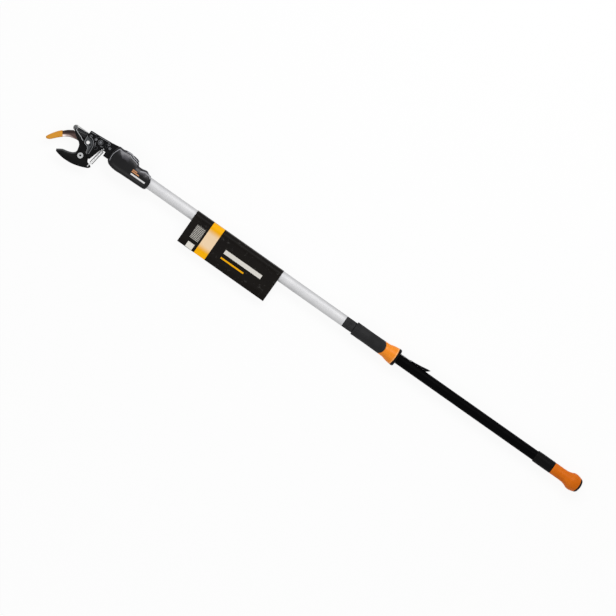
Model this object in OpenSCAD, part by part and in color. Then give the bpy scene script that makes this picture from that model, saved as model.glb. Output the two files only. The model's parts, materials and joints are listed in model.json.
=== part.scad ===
// Tree pruner pole: a strap-driven by-pass cutting head on a two-piece pole with a sliding pull grip.
// X runs from the head to the end knob, Y lies in the plane of the blades and Z points up from the floor.
// The head tilts about a vertical axle that stands at x = 0, y = 0.

/* [Cutting head] */
// Distance from the tilt axle forward to the blade pivot
pivot_forward = 94; // [92:0.5:106]
// Distance from the pole's axis down to the blade pivot
pivot_drop = 42; // [40.5:0.5:44]
// Thickness of the moving blade
blade_thick = 4; // [3:0.1:4.5]
// Thickness of the fixed hook
hook_thick = 3.6; // [2.5:0.1:4.5]
// Radius of the pivot bolt's shank
pivot_r = 4; // [3:0.1:4.8]
// Radius of the pivot bolt's head
pivot_head_r = 7.5; // [6.5:0.1:9]
// Radius of the roller on the blade's arm
roller_r = 5.5; // [4:0.1:5.8]
// Thickness of the hook's tip cap
cap_thick = 10; // [8:0.5:11]
// Distance between the inner faces of the head's covers
cover_gap = 14; // [13.6:0.1:15]
// Thickness of the front and rear side plates
side_plate_thick = 1.6; // [1:0.1:2]
// Overall thickness of the head over its covers
head_thick = 25.6; // [24:0.2:26.4]
// Radius of the strap drum where the pole strap winds
drum_r = 8.5; // [6:0.1:9]
// Radius of the spool where the arm strap winds
spool_r = 3.5; // [3:0.1:4]

/* [Return spring] */
// Wire diameter of the return spring
spring_wire = 1.5; // [1:0.1:1.6]
// Outer diameter of the return spring
spring_d = 9.5; // [8:0.1:10]
// Number of curls in the return spring
spring_curls = 19; // [12:1:19]

/* [Strap] */
// Width of the pull strap
strap_w = 6; // [4:0.1:6]
// Thickness of the pull strap
strap_thick = 1.2; // [0.6:0.1:1.4]

/* [Neck casing] */
// Thickness of the casing across its two shells
casing_thick = 46.4; // [46.4:0.2:52]
// Radius of the casing's round joint housing
housing_r = 35; // [34:0.5:36]
// Depth of the casing below the pole's axis
casing_drop = 22; // [19:0.5:24]
// Rise of the casing's rear part above the pole's axis
casing_rise = 21.5; // [20:0.5:23]
// Distance from the tilt axle to the casing's rear end
casing_back_reach = 86.5; // [84:0.5:110]
// Radius of the head's round tongue
tongue_r = 19; // [17:0.5:19]
// Radius of the tilt axle
axle_r = 5; // [4:0.1:6]
// Radius of the strap pulley on the tilt axle
pulley_r = 8; // [7.5:0.1:8.5]
// Width of the tilt lock button
button_w = 19; // [12:0.5:22]
// Length that the button stands out of the casing
button_proud = 3; // [2:0.1:4]

/* [Pole] */
// Outer diameter of the upper tube
upper_tube_d = 29; // [28.6:0.1:31]
// Outer diameter of the lower tube
lower_tube_d = 26.5; // [24.5:0.1:26.5]
// Wall of the lower tube
lower_wall = 1.5; // [1:0.1:1.8]
// Length of the upper tube that shows behind the casing
upper_shown = 587.5; // [540:0.5:700]
// Length of the lower tube held inside the upper tube
tube_overlap = 60; // [40:1:120]
// Length of the lower tube behind the upper tube
lower_reach = 628; // [620:1:760]
// Length of the collar at the tubes' joint
collar_len = 29; // [20:1:40]
// Outer diameter of the collar
collar_d = 28.5; // [28:0.1:30]

/* [Slider] */
// Length of the slider's grip
grip_len = 92; // [85:1:120]
// Outer diameter of the slider's grip
grip_d = 35.5; // [33:0.5:38]
// Length of the slider's flared ring
ring_len = 39; // [34:1:44]
// Largest diameter of the flared ring
ring_d = 46.4; // [43:0.2:46.4]
// Length of the ring's black lip
lip_len = 6.5; // [4:0.1:8]
// Travel of the slider along the lower tube
slider_travel = 290; // [200:5:300]
// Length of the lever behind the ring
lever_len = 54; // [45:1:60]
// Width of the lever
lever_w = 11; // [8:0.5:13]

/* [Pole end] */
// Outer diameter of the end sleeve
sleeve_d = 31; // [29:0.5:34]
// Length of the end sleeve
sleeve_len = 52; // [40:1:60]
// Diameter of the end knob's neck
knob_neck_d = 30.5; // [28:0.5:34]
// Largest diameter of the end knob
knob_d = 43.8; // [40:0.1:46]
// Length of the end knob
knob_len = 83.5; // [78:0.5:95]
// Length of the strap that the knob pulls out
knob_strap_len = 255; // [150:5:260]

/* [Card sleeve] */
// Length of the card sleeve along the pole
card_len = 259; // [200:1:300]
// Distance from the casing's rear end to the card sleeve
card_start = 135.5; // [20:0.5:200]
// Depth of the card sleeve below the pole's axis
card_drop = 76; // [50:1:90]
// Thickness of the card
card_thick = 0.6; // [0.4:0.1:1]

/* [Hidden] */
$fn = 64;
// Gap of a running fit, all round
running_gap = 0.05;
// Gap between flat faces of pieces that move past each other
face_gap = 0.4;
// Gap between curved faces of pieces that move past each other
free_gap = 0.3;
// Gap of a piece seated in its pocket
seat_gap = 0.1;

axis_height = casing_thick / 2;
pivot = [-pivot_forward, -pivot_drop];
// Blade pivot as seen from the corner that the head's outlines are measured from
pivot_spot = [2.5, -1];
head_corner = pivot - pivot_spot;

// Levels across the head, measured from the pole's axis
blade_low = face_gap / 2;
blade_high = blade_low + blade_thick;
hook_high = -face_gap / 2;
hook_low = hook_high - hook_thick;
cover_inner = cover_gap / 2;
cover_outer = head_thick / 2;
cover_plate_side = cover_inner + side_plate_thick + seat_gap;
strap_edge = 0.4;
front_strap = [strap_edge, strap_edge + strap_w];
rear_strap = [-strap_edge - strap_w, -strap_edge];

// Places on the head, measured from the head's corner
arm_end = [-46, 49.5];
drum_at = [25.5, 54];
anchor_at = [-1.5, 56.2];
screw_places = [[10.5, 62.5], [23.5, 36], [42.5, 55.5]];
rivet_at = [0, 36.4];
post_at = [41.2, 45];
tail_hole_at = [32, -11.5];
spring_top = [40.6, 40];
spring_bottom = [34.4, -2.6];

// Sizes of small round pieces
screw_r = 1.7;
screw_head_r = 3.2;
screw_head_h = 1.5;
anchor_r = 2.2;
post_r = 1.5;
bush_wall = 1.5;
drum_axle_r = 2.5;
axle_head_r = 3.6;
axle_head_h = 0.9;
drum_flange_r = drum_r + strap_thick * 2;
flange_thick = 0.5;
roller_pin_r = 2;
roller_pin_head_r = 3.2;

// Reach of the head's slot in the casing, as angles about the tilt axle
slot_from = 97;
slot_to = 313;
slot_half = head_thick / 2 + 0.7;
slot_reach = 70;

// Places along the pole
upper_tube_r = upper_tube_d / 2;
lower_tube_r = lower_tube_d / 2;
upper_bore_r = lower_tube_r + running_gap;
lower_bore_r = lower_tube_r - lower_wall;
tube_front = tongue_r + 26;
casing_end = casing_back_reach;
upper_end = casing_end + upper_shown;
collar_end = upper_end + collar_len;
lower_start = upper_end - tube_overlap;
lower_end = upper_end + lower_reach;
slider_start = collar_end + free_gap;
ring_start = slider_start + grip_len;
ring_end = ring_start + ring_len;
slider_bore_r = lower_tube_r + free_gap;
sleeve_start = lower_end - sleeve_len;
knob_start = lower_end + free_gap;
strap_level = pulley_r + free_gap;

// Slider carriage and its pin
carriage_len = 50;
carriage_start = slider_start + 22;
carriage_r = lower_bore_r - 0.35;
carriage_pin_x = carriage_start + carriage_len / 2;
carriage_pin_r = 2.2;
slot_w = 2 * carriage_pin_r + 0.6;
pin_depth = grip_d / 2 - 1.2;
carriage_relief = 3;

// Bolt that holds the upper tube in the casing
tube_bolt_x = (tube_front + casing_end) / 2;
tube_bolt_r = 2.5;
casing_screw_places = [[tongue_r + 14, -13], [tongue_r + 18, 16]];

// Points of a smooth curve through a list of points, as a Catmull-Rom spline
function bend(p, i, t) =
    let (n = len(p), a = p[max(i - 1, 0)], b = p[i], c = p[i + 1], d = p[min(i + 2, n - 1)])
    0.5 * (2 * b + (c - a) * t + (2 * a - 5 * b + 4 * c - d) * t * t
        + (3 * b - a - 3 * c + d) * t * t * t);
function curve(p, steps = 4) =
    concat([for (i = [0 : len(p) - 2]) for (s = [0 : steps - 1]) bend(p, i, s / steps)], [p[len(p) - 1]]);

// Points of an arc about a centre
function arc(centre, r, from, to, steps) =
    [for (i = [0 : steps]) let (a = from + (to - from) * i / steps) centre + r * [cos(a), sin(a)]];

// A flat piece between two levels
module slab(low, high) {
    translate([0, 0, low])
        linear_extrude(height = high - low)
            children();
}

// Lifts a piece from the pole's axis to its height above the floor
module on_pole() {
    translate([0, 0, axis_height])
        children();
}

// Moves a piece of the head to the head's corner
module at_head() {
    on_pole()
        translate(head_corner)
            children();
}

// Moves a piece to the blade pivot
module on_hinge() {
    on_pole()
        translate(pivot)
            children();
}

// Turns a piece from the Z axis onto the pole's axis, with its start at a place along the pole
module along_pole(start = 0) {
    on_pole()
        translate([start, 0, 0])
            rotate([0, 90, 0])
                children();
}

// A straight tube along the pole
module pole_tube(start, end, outer_r, inner_r) {
    along_pole(start)
        difference() {
            cylinder(r = outer_r, h = end - start);
            translate([0, 0, -1])
                cylinder(r = inner_r, h = end - start + 2);
        }
}

// A drill through the whole head at a place
module drill(place, r) {
    translate([place[0], place[1], -head_thick])
        cylinder(r = r, h = 2 * head_thick);
}

// A wedge of a circle between two angles
module sector(r, from, to) {
    polygon(concat([[0, 0]], arc([0, 0], r, from, to, 24)));
}

// Outline of the fixed hook, its tang and the lobe that carries the pivot
hook_top = curve([[-86.5, -8.5], [-79.5, 8], [-69.5, 22.5], [-60, 32.4], [-53.5, 37], [-46.5, 41.5]]);
hook_back = curve([[-46.5, 41.5], [-33.5, 39.5], [-11.5, 43.5], [1.5, 44.5], [9, 41.5]]);
hook_tang = [[12.5, 40.5], [32.5, 40.5], [32.5, 32], [25.5, 29], [20, 12]];
hook_lobe = arc(pivot_spot, 10.5, 20, -180, 14);
hook_throat = curve([[-10.5, 8], [-12.5, 16], [-16.5, 21.5], [-24.5, 26], [-38.5, 23.6], [-48.5, 20],
    [-59.5, 12.9], [-71, 3.6], [-82, -5.5]]);
hook_outline = concat(hook_top, hook_back, hook_tang, hook_lobe, hook_throat);

module hook_plate() {
    color("silver")
        at_head()
            difference() {
                slab(hook_low, hook_high)
                    polygon(hook_outline);
                drill(pivot_spot, pivot_r + seat_gap);
                drill(screw_places[1], screw_r + running_gap);
            }
}

// Orange guard over the hook's tip, with a pocket for the hook
cap_tip_r = 3.6;
cap_upper = curve([[-69.5, 25], [-75.5, 19.2], [-83.5, 9], [-91.5, -3.8], [-94, -9]]);
cap_tip = arc([-90.5, -10.6], cap_tip_r, 160, 290, 6);
cap_lower = curve([[-88.5, -13.9], [-83.5, -11.6], [-79.5, -8], [-71.5, 0.8], [-63.5, 8.6], [-60, 11.4]]);

module hook_tip_cap() {
    cap_low = (hook_low + hook_high - cap_thick) / 2;
    color("orange")
        at_head()
            difference() {
                slab(cap_low, cap_low + cap_thick)
                    polygon(concat(cap_upper, cap_tip, cap_lower));
                slab(hook_low - seat_gap, hook_high + seat_gap)
                    polygon(hook_outline);
            }
}

// Moving blade: lower jaw, pivot and the arm that the strap pulls
jaw_edge = curve([[-56, -21], [-43.5, -13], [-33.5, -10.5], [-23.5, -7.5], [-15.5, -3.3], [-11.5, 3],
    [-12.5, 11], [-15.5, 19.5], [-23.5, 27], [-31.5, 31], [-40.5, 38]]);
arm_tip = arc(arm_end, 3.6, 215, 10, 8);
arm_edge = curve([[-41.5, 46], [-31.5, 42], [-23.5, 39], [-15.5, 35], [-2.5, 30], [8.5, 21], [18.5, 13], [21.5, 8]]);
blade_heel = curve([[21.5, 8], [23.5, 1], [26.5, -3.6], [30.5, -5.3], [37.5, -7.3]]);
blade_belly = curve([[39.5, -10.5], [36.5, -14.6], [32.5, -17.2], [20.5, -22.4], [8.5, -26.4], [-3.5, -29.3],
    [-15.5, -30.5], [-28.5, -30.7], [-43.5, -28.8], [-53.5, -26.3]]);

module blade() {
    color("dimgray")
        at_head()
            difference() {
                slab(blade_low, blade_high)
                    polygon(concat(jaw_edge, arm_tip, arm_edge, blade_heel, blade_belly));
                drill(pivot_spot, pivot_r + running_gap + bush_wall);
                drill(arm_end, roller_pin_r);
                drill(tail_hole_at, spring_wire);
            }
}

module pivot_bush() {
    color("goldenrod")
        on_hinge()
            translate([0, 0, blade_low])
                difference() {
                    cylinder(r = pivot_r + running_gap + bush_wall, h = blade_thick);
                    translate([0, 0, -1])
                        cylinder(r = pivot_r + running_gap, h = blade_thick + 2);
                }
}

// Bolt of the blade pivot, with a hexagon socket in its head in front
pivot_head_h = 3;
socket_r = 2.9;
socket_depth = 1.8;

module pivot_bolt() {
    head_low = blade_high + face_gap / 2;
    color("lightgray")
        on_hinge()
            difference() {
                union() {
                    translate([0, 0, hook_low - pivot_nut_h])
                        cylinder(r = pivot_r, h = head_low - hook_low + pivot_nut_h);
                    translate([0, 0, head_low])
                        cylinder(r = pivot_head_r, h = pivot_head_h);
                }
                translate([0, 0, head_low + pivot_head_h - socket_depth])
                    cylinder(r = socket_r, h = socket_depth + 1, $fn = 6);
            }
}

pivot_nut_h = 4;

module pivot_nut() {
    color("lightgray")
        on_hinge()
            translate([0, 0, hook_low - pivot_nut_h])
                difference() {
                    cylinder(r = pivot_r * 1.75, h = pivot_nut_h, $fn = 6);
                    translate([0, 0, -1])
                        cylinder(r = pivot_r, h = pivot_nut_h + 2);
                }
}

// Roller on the end of the blade's arm
module arm_roller() {
    roller_low = -cover_inner + face_gap;
    color("gainsboro")
        at_head()
            translate([arm_end[0], arm_end[1], roller_low])
                difference() {
                    cylinder(r = roller_r, h = -strap_edge + 0.1 - roller_low);
                    translate([0, 0, -1])
                        cylinder(r = roller_pin_r + running_gap, h = cover_gap);
                }
}

module arm_roller_pin() {
    pin_low = -cover_inner + face_gap / 2;
    color("lightgray")
        at_head()
            translate(arm_end) {
                translate([0, 0, pin_low])
                    cylinder(r = roller_pin_r, h = blade_high - pin_low);
                translate([0, 0, blade_high])
                    cylinder(r = roller_pin_head_r, h = 1.2);
            }
}

// Strap from the anchor pin round the arm's roller to the drum's spool
module arm_strap() {
    inner = roller_r + free_gap;
    outer = inner + strap_thick;
    anchor_x = anchor_at[0] - anchor_r - free_gap;
    spool_top = drum_at[1] + spool_r + free_gap;
    color("lightgray")
        at_head()
            slab(rear_strap[0], rear_strap[1])
                polygon(concat([[anchor_x, anchor_at[1] + strap_thick / 2]], arc(arm_end, outer, 90, 270, 16),
                    [[drum_at[0], spool_top], [drum_at[0], spool_top + strap_thick]],
                    arc(arm_end, inner, 270, 90, 16), [[anchor_x, anchor_at[1] - strap_thick / 2]]));
}

module strap_anchor_pin() {
    color("lightgray")
        at_head()
            translate([anchor_at[0], anchor_at[1], -cover_outer])
                cylinder(r = anchor_r, h = cover_outer - strap_edge);
}

// Outlines of the head's covers: the top edge, the rear edge and the tongue that reaches down
cover_top = [[-10.5, 51], [-10.5, 64], [-7.5, 65.5], [16.5, 67], [48.5, 69.6]];
cover_rear = [[48.5, 41.5], [36.5, 41.5], [34, 36]];
cover_tongue = curve([[32, 28.5], [28.5, 17], [26, 8], [24.5, 4]]);
cover_front = curve([[18.5, 6], [15, 12], [13.5, 21], [12.5, 37], [8.5, 44.5], [-2, 48], [-10.5, 49]]);
cover_outline = concat(cover_top, cover_rear, cover_tongue, cover_front);
// Start of the covers' closed top wall, behind the sweep of the arm's roller
top_wall_start = 13;
top_wall_thick = 2;

module cover_shell(inner) {
    difference() {
        union() {
            slab(inner, cover_outer)
                polygon(cover_outline);
            slab(face_gap / 4, inner)
                intersection() {
                    polygon(cover_outline);
                    polygon([[top_wall_start, 66.8 - top_wall_thick], [top_wall_start, 80], [50, 80],
                        [50, 69.7 - top_wall_thick]]);
                }
        }
        for (place = screw_places)
            drill(place, screw_r + running_gap);
        drill(post_at, post_r);
    }
}

module front_cover() {
    color("black")
        at_head()
            difference() {
                cover_shell(cover_plate_side);
                drill(drum_at, drum_axle_r);
            }
}

module back_cover() {
    color("black")
        at_head()
            difference() {
                mirror([0, 0, 1])
                    cover_shell(cover_plate_side);
                drill(anchor_at, anchor_r);
                drill(drum_at, drum_axle_r);
            }
}

// Steel plate inside the front cover, bare at the head's lower front
plate_outer = curve([[-10.5, 47.8], [-10, 40], [-9.5, 35], [-7, 29.5], [-1, 28], [5, 25], [8, 18], [9.5, 12]]);
plate_inner = [[15.8, 12], [14.5, 21], [28, 33], [31.5, 38], [33.5, 43], [36, 43], [36, 62], [-10.5, 62]];

module side_plate() {
    color("darkgray")
        at_head()
            difference() {
                slab(cover_inner, cover_inner + side_plate_thick)
                    polygon(concat(plate_outer, plate_inner));
                for (i = [0, 1])
                    drill(screw_places[i], screw_r + running_gap);
                drill(drum_at, drum_axle_r);
                drill(rivet_at, rivet_r);
            }
}

// Steel plate inside the back cover, which reaches forward behind the arm's roller
rear_plate_top = [[-44, 47], [-43.5, 52], [-40.5, 54.2], [-24, 54.8], [-10.5, 55.4], [-8, 62], [36, 62]];
rear_plate_under = [[36, 43], [20, 38.5], [-20, 38], [-38, 41]];

module rear_plate() {
    color("darkgray")
        at_head()
            difference() {
                slab(-cover_inner - side_plate_thick, -cover_inner)
                    polygon(concat(rear_plate_top, rear_plate_under));
                drill(screw_places[0], screw_r + running_gap);
                drill(anchor_at, anchor_r);
                drill(drum_at, drum_axle_r);
            }
}

rivet_r = 2.5;
rivet_head_r = 4.5;

module side_plate_rivet() {
    color("white")
        at_head()
            translate(rivet_at) {
                translate([0, 0, cover_inner])
                    cylinder(r = rivet_r, h = side_plate_thick);
                translate([0, 0, cover_inner + side_plate_thick])
                    cylinder(r = rivet_head_r, h = 1.8);
            }
}

module head_screws() {
    color("gray")
        at_head()
            for (place = screw_places)
                translate(place) {
                    translate([0, 0, -cover_outer])
                        cylinder(r = screw_r, h = head_thick);
                    translate([0, 0, cover_outer])
                        cylinder(r = screw_head_r, h = screw_head_h);
                }
}

// Core of the head: a tenon between the covers, the neck and the round tongue in the casing
neck_front = head_corner + [48.8, 69.5];
neck_under = head_corner + [48.8, 30.8];
tenon_low = head_corner + [39, 48];
tenon_high = head_corner + [50, 66.4];
neck_back = 28;
neck_top = 31.5;
neck_low = -10.4;
drum_strap_start = head_corner + drum_at + [0, drum_r + free_gap];
pocket_high = cover_inner;
// Angles of the open side of the tongue, where the strap leaves it at any tilt
strap_exit = [-95, 72];
strap_room = 2;

module head_core() {
    color("black")
        on_pole()
            difference() {
                union() {
                    slab(-cover_outer, cover_outer) {
                        circle(r = tongue_r);
                        polygon([neck_front, [-neck_back, neck_top], 0.83 * tongue_r * [-1, 0.75],
                            [-tongue_r / 2, neck_low], neck_under]);
                    }
                    slab(-cover_inner + seat_gap, cover_inner - seat_gap)
                        translate(tenon_low)
                            square(tenon_high - tenon_low);
                }
                slab(0, pocket_high) {
                    circle(r = pulley_r + 1.2);
                    sector(tongue_r + 2, strap_exit[0], strap_exit[1]);
                    polygon([drum_strap_start - [0, strap_room],
                        drum_strap_start + [0, strap_thick + strap_room],
                        [0, strap_level + strap_thick + strap_room], [0, strap_level - strap_room]]);
                }
                drill([0, 0], axle_r + running_gap);
                drill(head_corner + screw_places[2], screw_r + running_gap);
            }
}

// Drum that the pole strap turns, with a small spool behind it for the arm strap
module strap_drum() {
    spool_low = -strap_edge - strap_w - 0.05;
    drum_high = strap_edge + strap_w + 0.05;
    mid = strap_edge - 0.1;
    color("gray")
        at_head()
            translate(drum_at)
                difference() {
                    union() {
                        translate([0, 0, spool_low - flange_thick])
                            cylinder(r = spool_r + strap_thick * 2, h = flange_thick);
                        translate([0, 0, spool_low])
                            cylinder(r = spool_r, h = -spool_low);
                        translate([0, 0, -mid])
                            cylinder(r = drum_flange_r, h = 2 * mid);
                        cylinder(r = drum_r, h = drum_high);
                        translate([0, 0, drum_high])
                            cylinder(r = drum_flange_r, h = flange_thick);
                    }
                    drill([0, 0], drum_axle_r + running_gap);
                }
}

module drum_axle() {
    color("lightgray")
        at_head()
            translate(drum_at) {
                translate([0, 0, -cover_outer])
                    cylinder(r = drum_axle_r, h = head_thick);
                translate([0, 0, cover_outer])
                    cylinder(r = axle_head_r, h = axle_head_h);
            }
}

module neck_strap() {
    strap_end = [-0.2, strap_level];
    color("lightgray")
        on_pole()
            slab(front_strap[0], front_strap[1])
                polygon([drum_strap_start, drum_strap_start + [0, strap_thick],
                    strap_end + [0, strap_thick], strap_end]);
}

// Return spring: one wire that runs from a short leg into its curls and out to a second leg
curl_rings = 8;
wire_sides = 6;
spring_level = (blade_low + blade_high) / 2;
coil_r = (spring_d - spring_wire) / 2;
spring_axis = spring_bottom - spring_top;
spring_side = [-spring_axis[1], spring_axis[0]] / norm(spring_axis);
coil_rings = spring_curls * curl_rings;
post_side = (post_at - spring_top) / norm(post_at - spring_top);
leg_top = post_at - post_side * (post_r + free_gap);
leg_len = 2.4;
leg_bottom = spring_bottom + spring_axis / norm(spring_axis) * leg_len;
function ease(k) = let (s = min(1, k / curl_rings, (coil_rings - k) / curl_rings)) s * s * (3 - 2 * s);
function flat(p) = [p[0], p[1], spring_level];
function coil_point(k) =
    let (a = 360 * k / curl_rings, r = coil_r * ease(k), p = spring_top + spring_axis * k / coil_rings)
    flat(p + spring_side * r * cos(a)) + [0, 0, r * sin(a)];
wire_path = concat([flat(leg_top), flat((leg_top + spring_top) / 2)], [for (k = [0 : coil_rings]) coil_point(k)],
    [flat((leg_bottom + spring_bottom) / 2), flat(leg_bottom)]);
function unit(v) = v / norm(v);
function tangent(p, i) = unit(p[min(i + 1, len(p) - 1)] - p[max(i - 1, 0)]);
function level_off(v, t) = unit(v - (v * t) * t);
wire_normals = [for (i = 0, n = level_off([0, 0, 1], tangent(wire_path, 0)); i < len(wire_path);
    i = i + 1, n = i < len(wire_path) ? level_off(n, tangent(wire_path, i)) : n) n];
function wire_ring(i) =
    let (t = tangent(wire_path, i), n = wire_normals[i], b = cross(t, n))
    [for (j = [0 : wire_sides - 1]) let (a = 360 * j / wire_sides)
        wire_path[i] + spring_wire / 2 * (n * cos(a) + b * sin(a))];
wire_points = [for (i = [0 : len(wire_path) - 1]) each wire_ring(i)];
last_ring = (len(wire_path) - 1) * wire_sides;
wire_faces = concat(
    [for (i = [0 : len(wire_path) - 2]) for (j = [0 : wire_sides - 1])
        let (a = i * wire_sides + j, b = i * wire_sides + (j + 1) % wire_sides)
        each [[a, a + wire_sides, b + wire_sides], [a, b + wire_sides, b]]],
    [for (j = [1 : wire_sides - 2]) [0, j, j + 1]],
    [for (j = [1 : wire_sides - 2]) [last_ring, last_ring + j + 1, last_ring + j]]);
half_curl = curl_rings / 2;
spring_least_gap = min([for (k = [0 : coil_rings - half_curl - 1]) for (m = [k + half_curl : min(k + 12, coil_rings)])
    norm(coil_point(m) - coil_point(k)) - spring_wire]);
echo(spring_least_gap = spring_least_gap);

module return_spring() {
    color("silver")
        at_head()
            polyhedron(points = wire_points, faces = wire_faces);
}

module spring_post() {
    color("lightgray")
        at_head()
            translate([post_at[0], post_at[1], -cover_outer])
                cylinder(r = post_r, h = head_thick);
}

// Neck casing: a round joint housing, a rear socket for the tube and cheeks beside the button
casing_left = [[-32, 9.5 - casing_drop], [0.7 - housing_r, -4], [-housing_r, 5], [1 - housing_r, 15],
    [4 - housing_r, housing_r - 10], [-26, housing_r - 2.4]];
casing_top = [[-14, housing_r - 2.6], [-4, housing_r - 0.2], [8, housing_r + 0.6], [13, housing_r - 1],
    [17, housing_r - 3.2], [24, housing_r - 4.8], [31, housing_r - 7], [36, housing_r - 10],
    [39.5, casing_rise - 1.5], [44, casing_rise - 2.2], [52, casing_rise - 1.9]];
casing_rear = [[casing_end - 28.5, casing_rise - 0.2], [casing_end - 22.5, casing_rise + 0.5],
    [casing_end - 18.5, casing_rise - 1.7], [casing_end - 14, casing_rise - 4],
    [casing_end - 8.5, casing_rise - 5.5], [casing_end - 4, 10.5], [casing_end - 0.7, 4], [casing_end, -4],
    [casing_end - 0.6, -12], [casing_end - 3, 4.2 - casing_drop], [casing_end - 6.5, 2.1 - casing_drop]];
casing_under = [[casing_end - 16.5, 1.2 - casing_drop], [36, 0.4 - casing_drop], [12, -0.3 - casing_drop],
    [0, -1 - casing_drop], [-8, -0.7 - casing_drop], [-16, 0.5 - casing_drop], [-24, 2.8 - casing_drop],
    [-28, 5.5 - casing_drop]];
casing_edge = 6;
casing_edge_scale = 0.88;
casing_middle = [casing_end / 3, 4];
button_at = [14, 34];
button_low = tongue_r + 9;
button_travel = 3;
spring_pocket_x = 26;
button_spring_r = 3;
spring_floor = 20;
screw_seat = casing_thick / 2 - 4.5;
screw_end = 14;
axle_half = 18;

module casing_outline() {
    polygon(curve(concat(casing_left, casing_top, casing_rear, casing_under)));
}

module casing_shell() {
    half = casing_thick / 2;
    difference() {
        union() {
            slab(0, half - casing_edge)
                casing_outline();
            translate([casing_middle[0], casing_middle[1], half - casing_edge])
                linear_extrude(height = casing_edge, scale = casing_edge_scale)
                    translate(-casing_middle)
                        casing_outline();
        }
        translate([0, 0, -1])
            cylinder(r = tongue_r + 1, h = slot_half + 1);
        slab(-1, slot_half)
            sector(slot_reach, slot_from, slot_to);
        translate([tube_front, 0, 0])
            rotate([0, 90, 0])
                cylinder(r = upper_tube_r + seat_gap, h = casing_end);
        translate([0, strap_level - 3, -1])
            cube([tube_front + 1, strap_thick + 6, strap_edge + strap_w + 2.5]);
        translate([button_at[0] - free_gap, button_low - button_travel - free_gap, -1])
            cube([button_at[1] - button_at[0] + 2 * free_gap, housing_r, button_w / 2 + free_gap + 1]);
        translate([spring_pocket_x, spring_floor, 0])
            rotate([-90, 0, 0])
                cylinder(r = button_spring_r + free_gap, h = housing_r);
        translate([0, 0, -1])
            cylinder(r = axle_r + running_gap, h = axle_half + seat_gap + 1);
        for (place = casing_screw_places)
            translate([place[0], place[1], -1])
                cylinder(r = screw_r + running_gap, h = screw_end + 1 + seat_gap);
        translate([tube_bolt_x, 0, -1])
            cylinder(r = tube_bolt_r + running_gap, h = axle_half + 1 + seat_gap);
    }
}

// Plain coloured inlays on the casing's front face
bar_at = [33, -1.6];
bar_size = [21, 3];
bar_pitch = 4.2;
bar_short = 13;
stripe_at = [34, -8.7];
stripe_size = [42, 4];
inlay_depth = 0.5;
inlay_proud = 0.1;

module inlay(place, size, gap, high) {
    slab(casing_thick / 2 - inlay_depth, casing_thick / 2 + high)
        translate(place - [gap, gap])
            square(size + 2 * [gap, gap]);
}

module bar_inlays(gap, high) {
    inlay(bar_at, bar_size, gap, high);
    inlay(bar_at + [0, bar_pitch], [bar_short, bar_size[1]], gap, high);
}

module casing_front() {
    color("dimgray")
        on_pole()
            difference() {
                casing_shell();
                bar_inlays(seat_gap, 1);
                inlay(stripe_at, stripe_size, seat_gap, 1);
            }
}

module casing_back() {
    color("dimgray")
        on_pole()
            difference() {
                mirror([0, 0, 1])
                    casing_shell();
                for (place = casing_screw_places)
                    translate([place[0], place[1], -casing_thick]) {
                        cylinder(r = screw_r + running_gap, h = casing_thick);
                        cylinder(r = screw_head_r + free_gap, h = casing_thick - screw_seat);
                    }
                translate([tube_bolt_x, 0, -casing_thick]) {
                    cylinder(r = tube_bolt_r + running_gap, h = casing_thick);
                    cylinder(r = 1.8 * tube_bolt_r + free_gap, h = casing_thick - screw_seat);
                }
            }
}

module label_bar() {
    color("orange")
        on_pole()
            bar_inlays(0, inlay_proud);
}

module label_stripe() {
    color("white")
        on_pole()
            inlay(stripe_at, stripe_size, 0, inlay_proud);
}

module casing_screws() {
    color("gray")
        on_pole()
            for (place = casing_screw_places)
                translate([place[0], place[1], 0]) {
                    translate([0, 0, -screw_seat])
                        cylinder(r = screw_r, h = screw_seat + screw_end);
                    translate([0, 0, -screw_seat - 2])
                        cylinder(r = screw_head_r, h = 2);
                }
}

module tube_bolt() {
    color("gray")
        on_pole()
            translate([tube_bolt_x, 0, 0]) {
                translate([0, 0, -screw_seat])
                    cylinder(r = tube_bolt_r, h = screw_seat + axle_half);
                translate([0, 0, -screw_seat - 3])
                    cylinder(r = 1.8 * tube_bolt_r, h = 3);
            }
}

module tilt_axle() {
    color("lightgray")
        on_pole()
            translate([0, 0, -axle_half])
                cylinder(r = axle_r, h = 2 * axle_half);
}

// Strap pulley on the tilt axle, so that the strap keeps its length as the head tilts
module joint_pulley() {
    color("gray")
        on_pole()
            translate([0, 0, 0.2])
                difference() {
                    cylinder(r = pulley_r, h = pocket_high - 0.4);
                    translate([0, 0, -1])
                        cylinder(r = axle_r + running_gap, h = pocket_high + 2);
                }
}

// Tilt lock button between the casing's cheeks, pressed towards the pole
module tilt_button() {
    top = housing_r - 4 + button_proud;
    color("dimgray")
        on_pole()
            slab(-button_w / 2, button_w / 2)
                polygon(concat([[button_at[0], button_low]], curve([[button_at[0], top - 1.2],
                    [button_at[0] + 3, top], [button_at[0] + 10, top - 0.8], [button_at[0] + 16, top - 2.4],
                    [button_at[1], top - 5]]), [[button_at[1], button_low]]));
}

module button_spring() {
    color("silver")
        on_pole()
            translate([spring_pocket_x, spring_floor, 0])
                rotate([-90, 0, 0])
                    difference() {
                        cylinder(r = button_spring_r, h = button_low - spring_floor);
                        translate([0, 0, -1])
                            cylinder(r = button_spring_r - 1, h = housing_r);
                    }
}

// Pole tubes, their collar and the strap inside them
module upper_tube() {
    color("gainsboro")
        difference() {
            pole_tube(tube_front, upper_end, upper_tube_r, upper_bore_r);
            on_pole()
                translate([tube_bolt_x, 0, -upper_tube_d])
                    cylinder(r = tube_bolt_r + running_gap, h = 2 * upper_tube_d);
        }
}

module lower_tube() {
    slot_from_x = carriage_pin_x - slot_w;
    color("black")
        difference() {
            pole_tube(lower_start, lower_end, lower_tube_r, lower_bore_r);
            on_pole()
                translate([slot_from_x, -slot_w / 2, -lower_tube_d])
                    cube([slider_travel + 2 * slot_w, slot_w, lower_tube_d]);
        }
}

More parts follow.
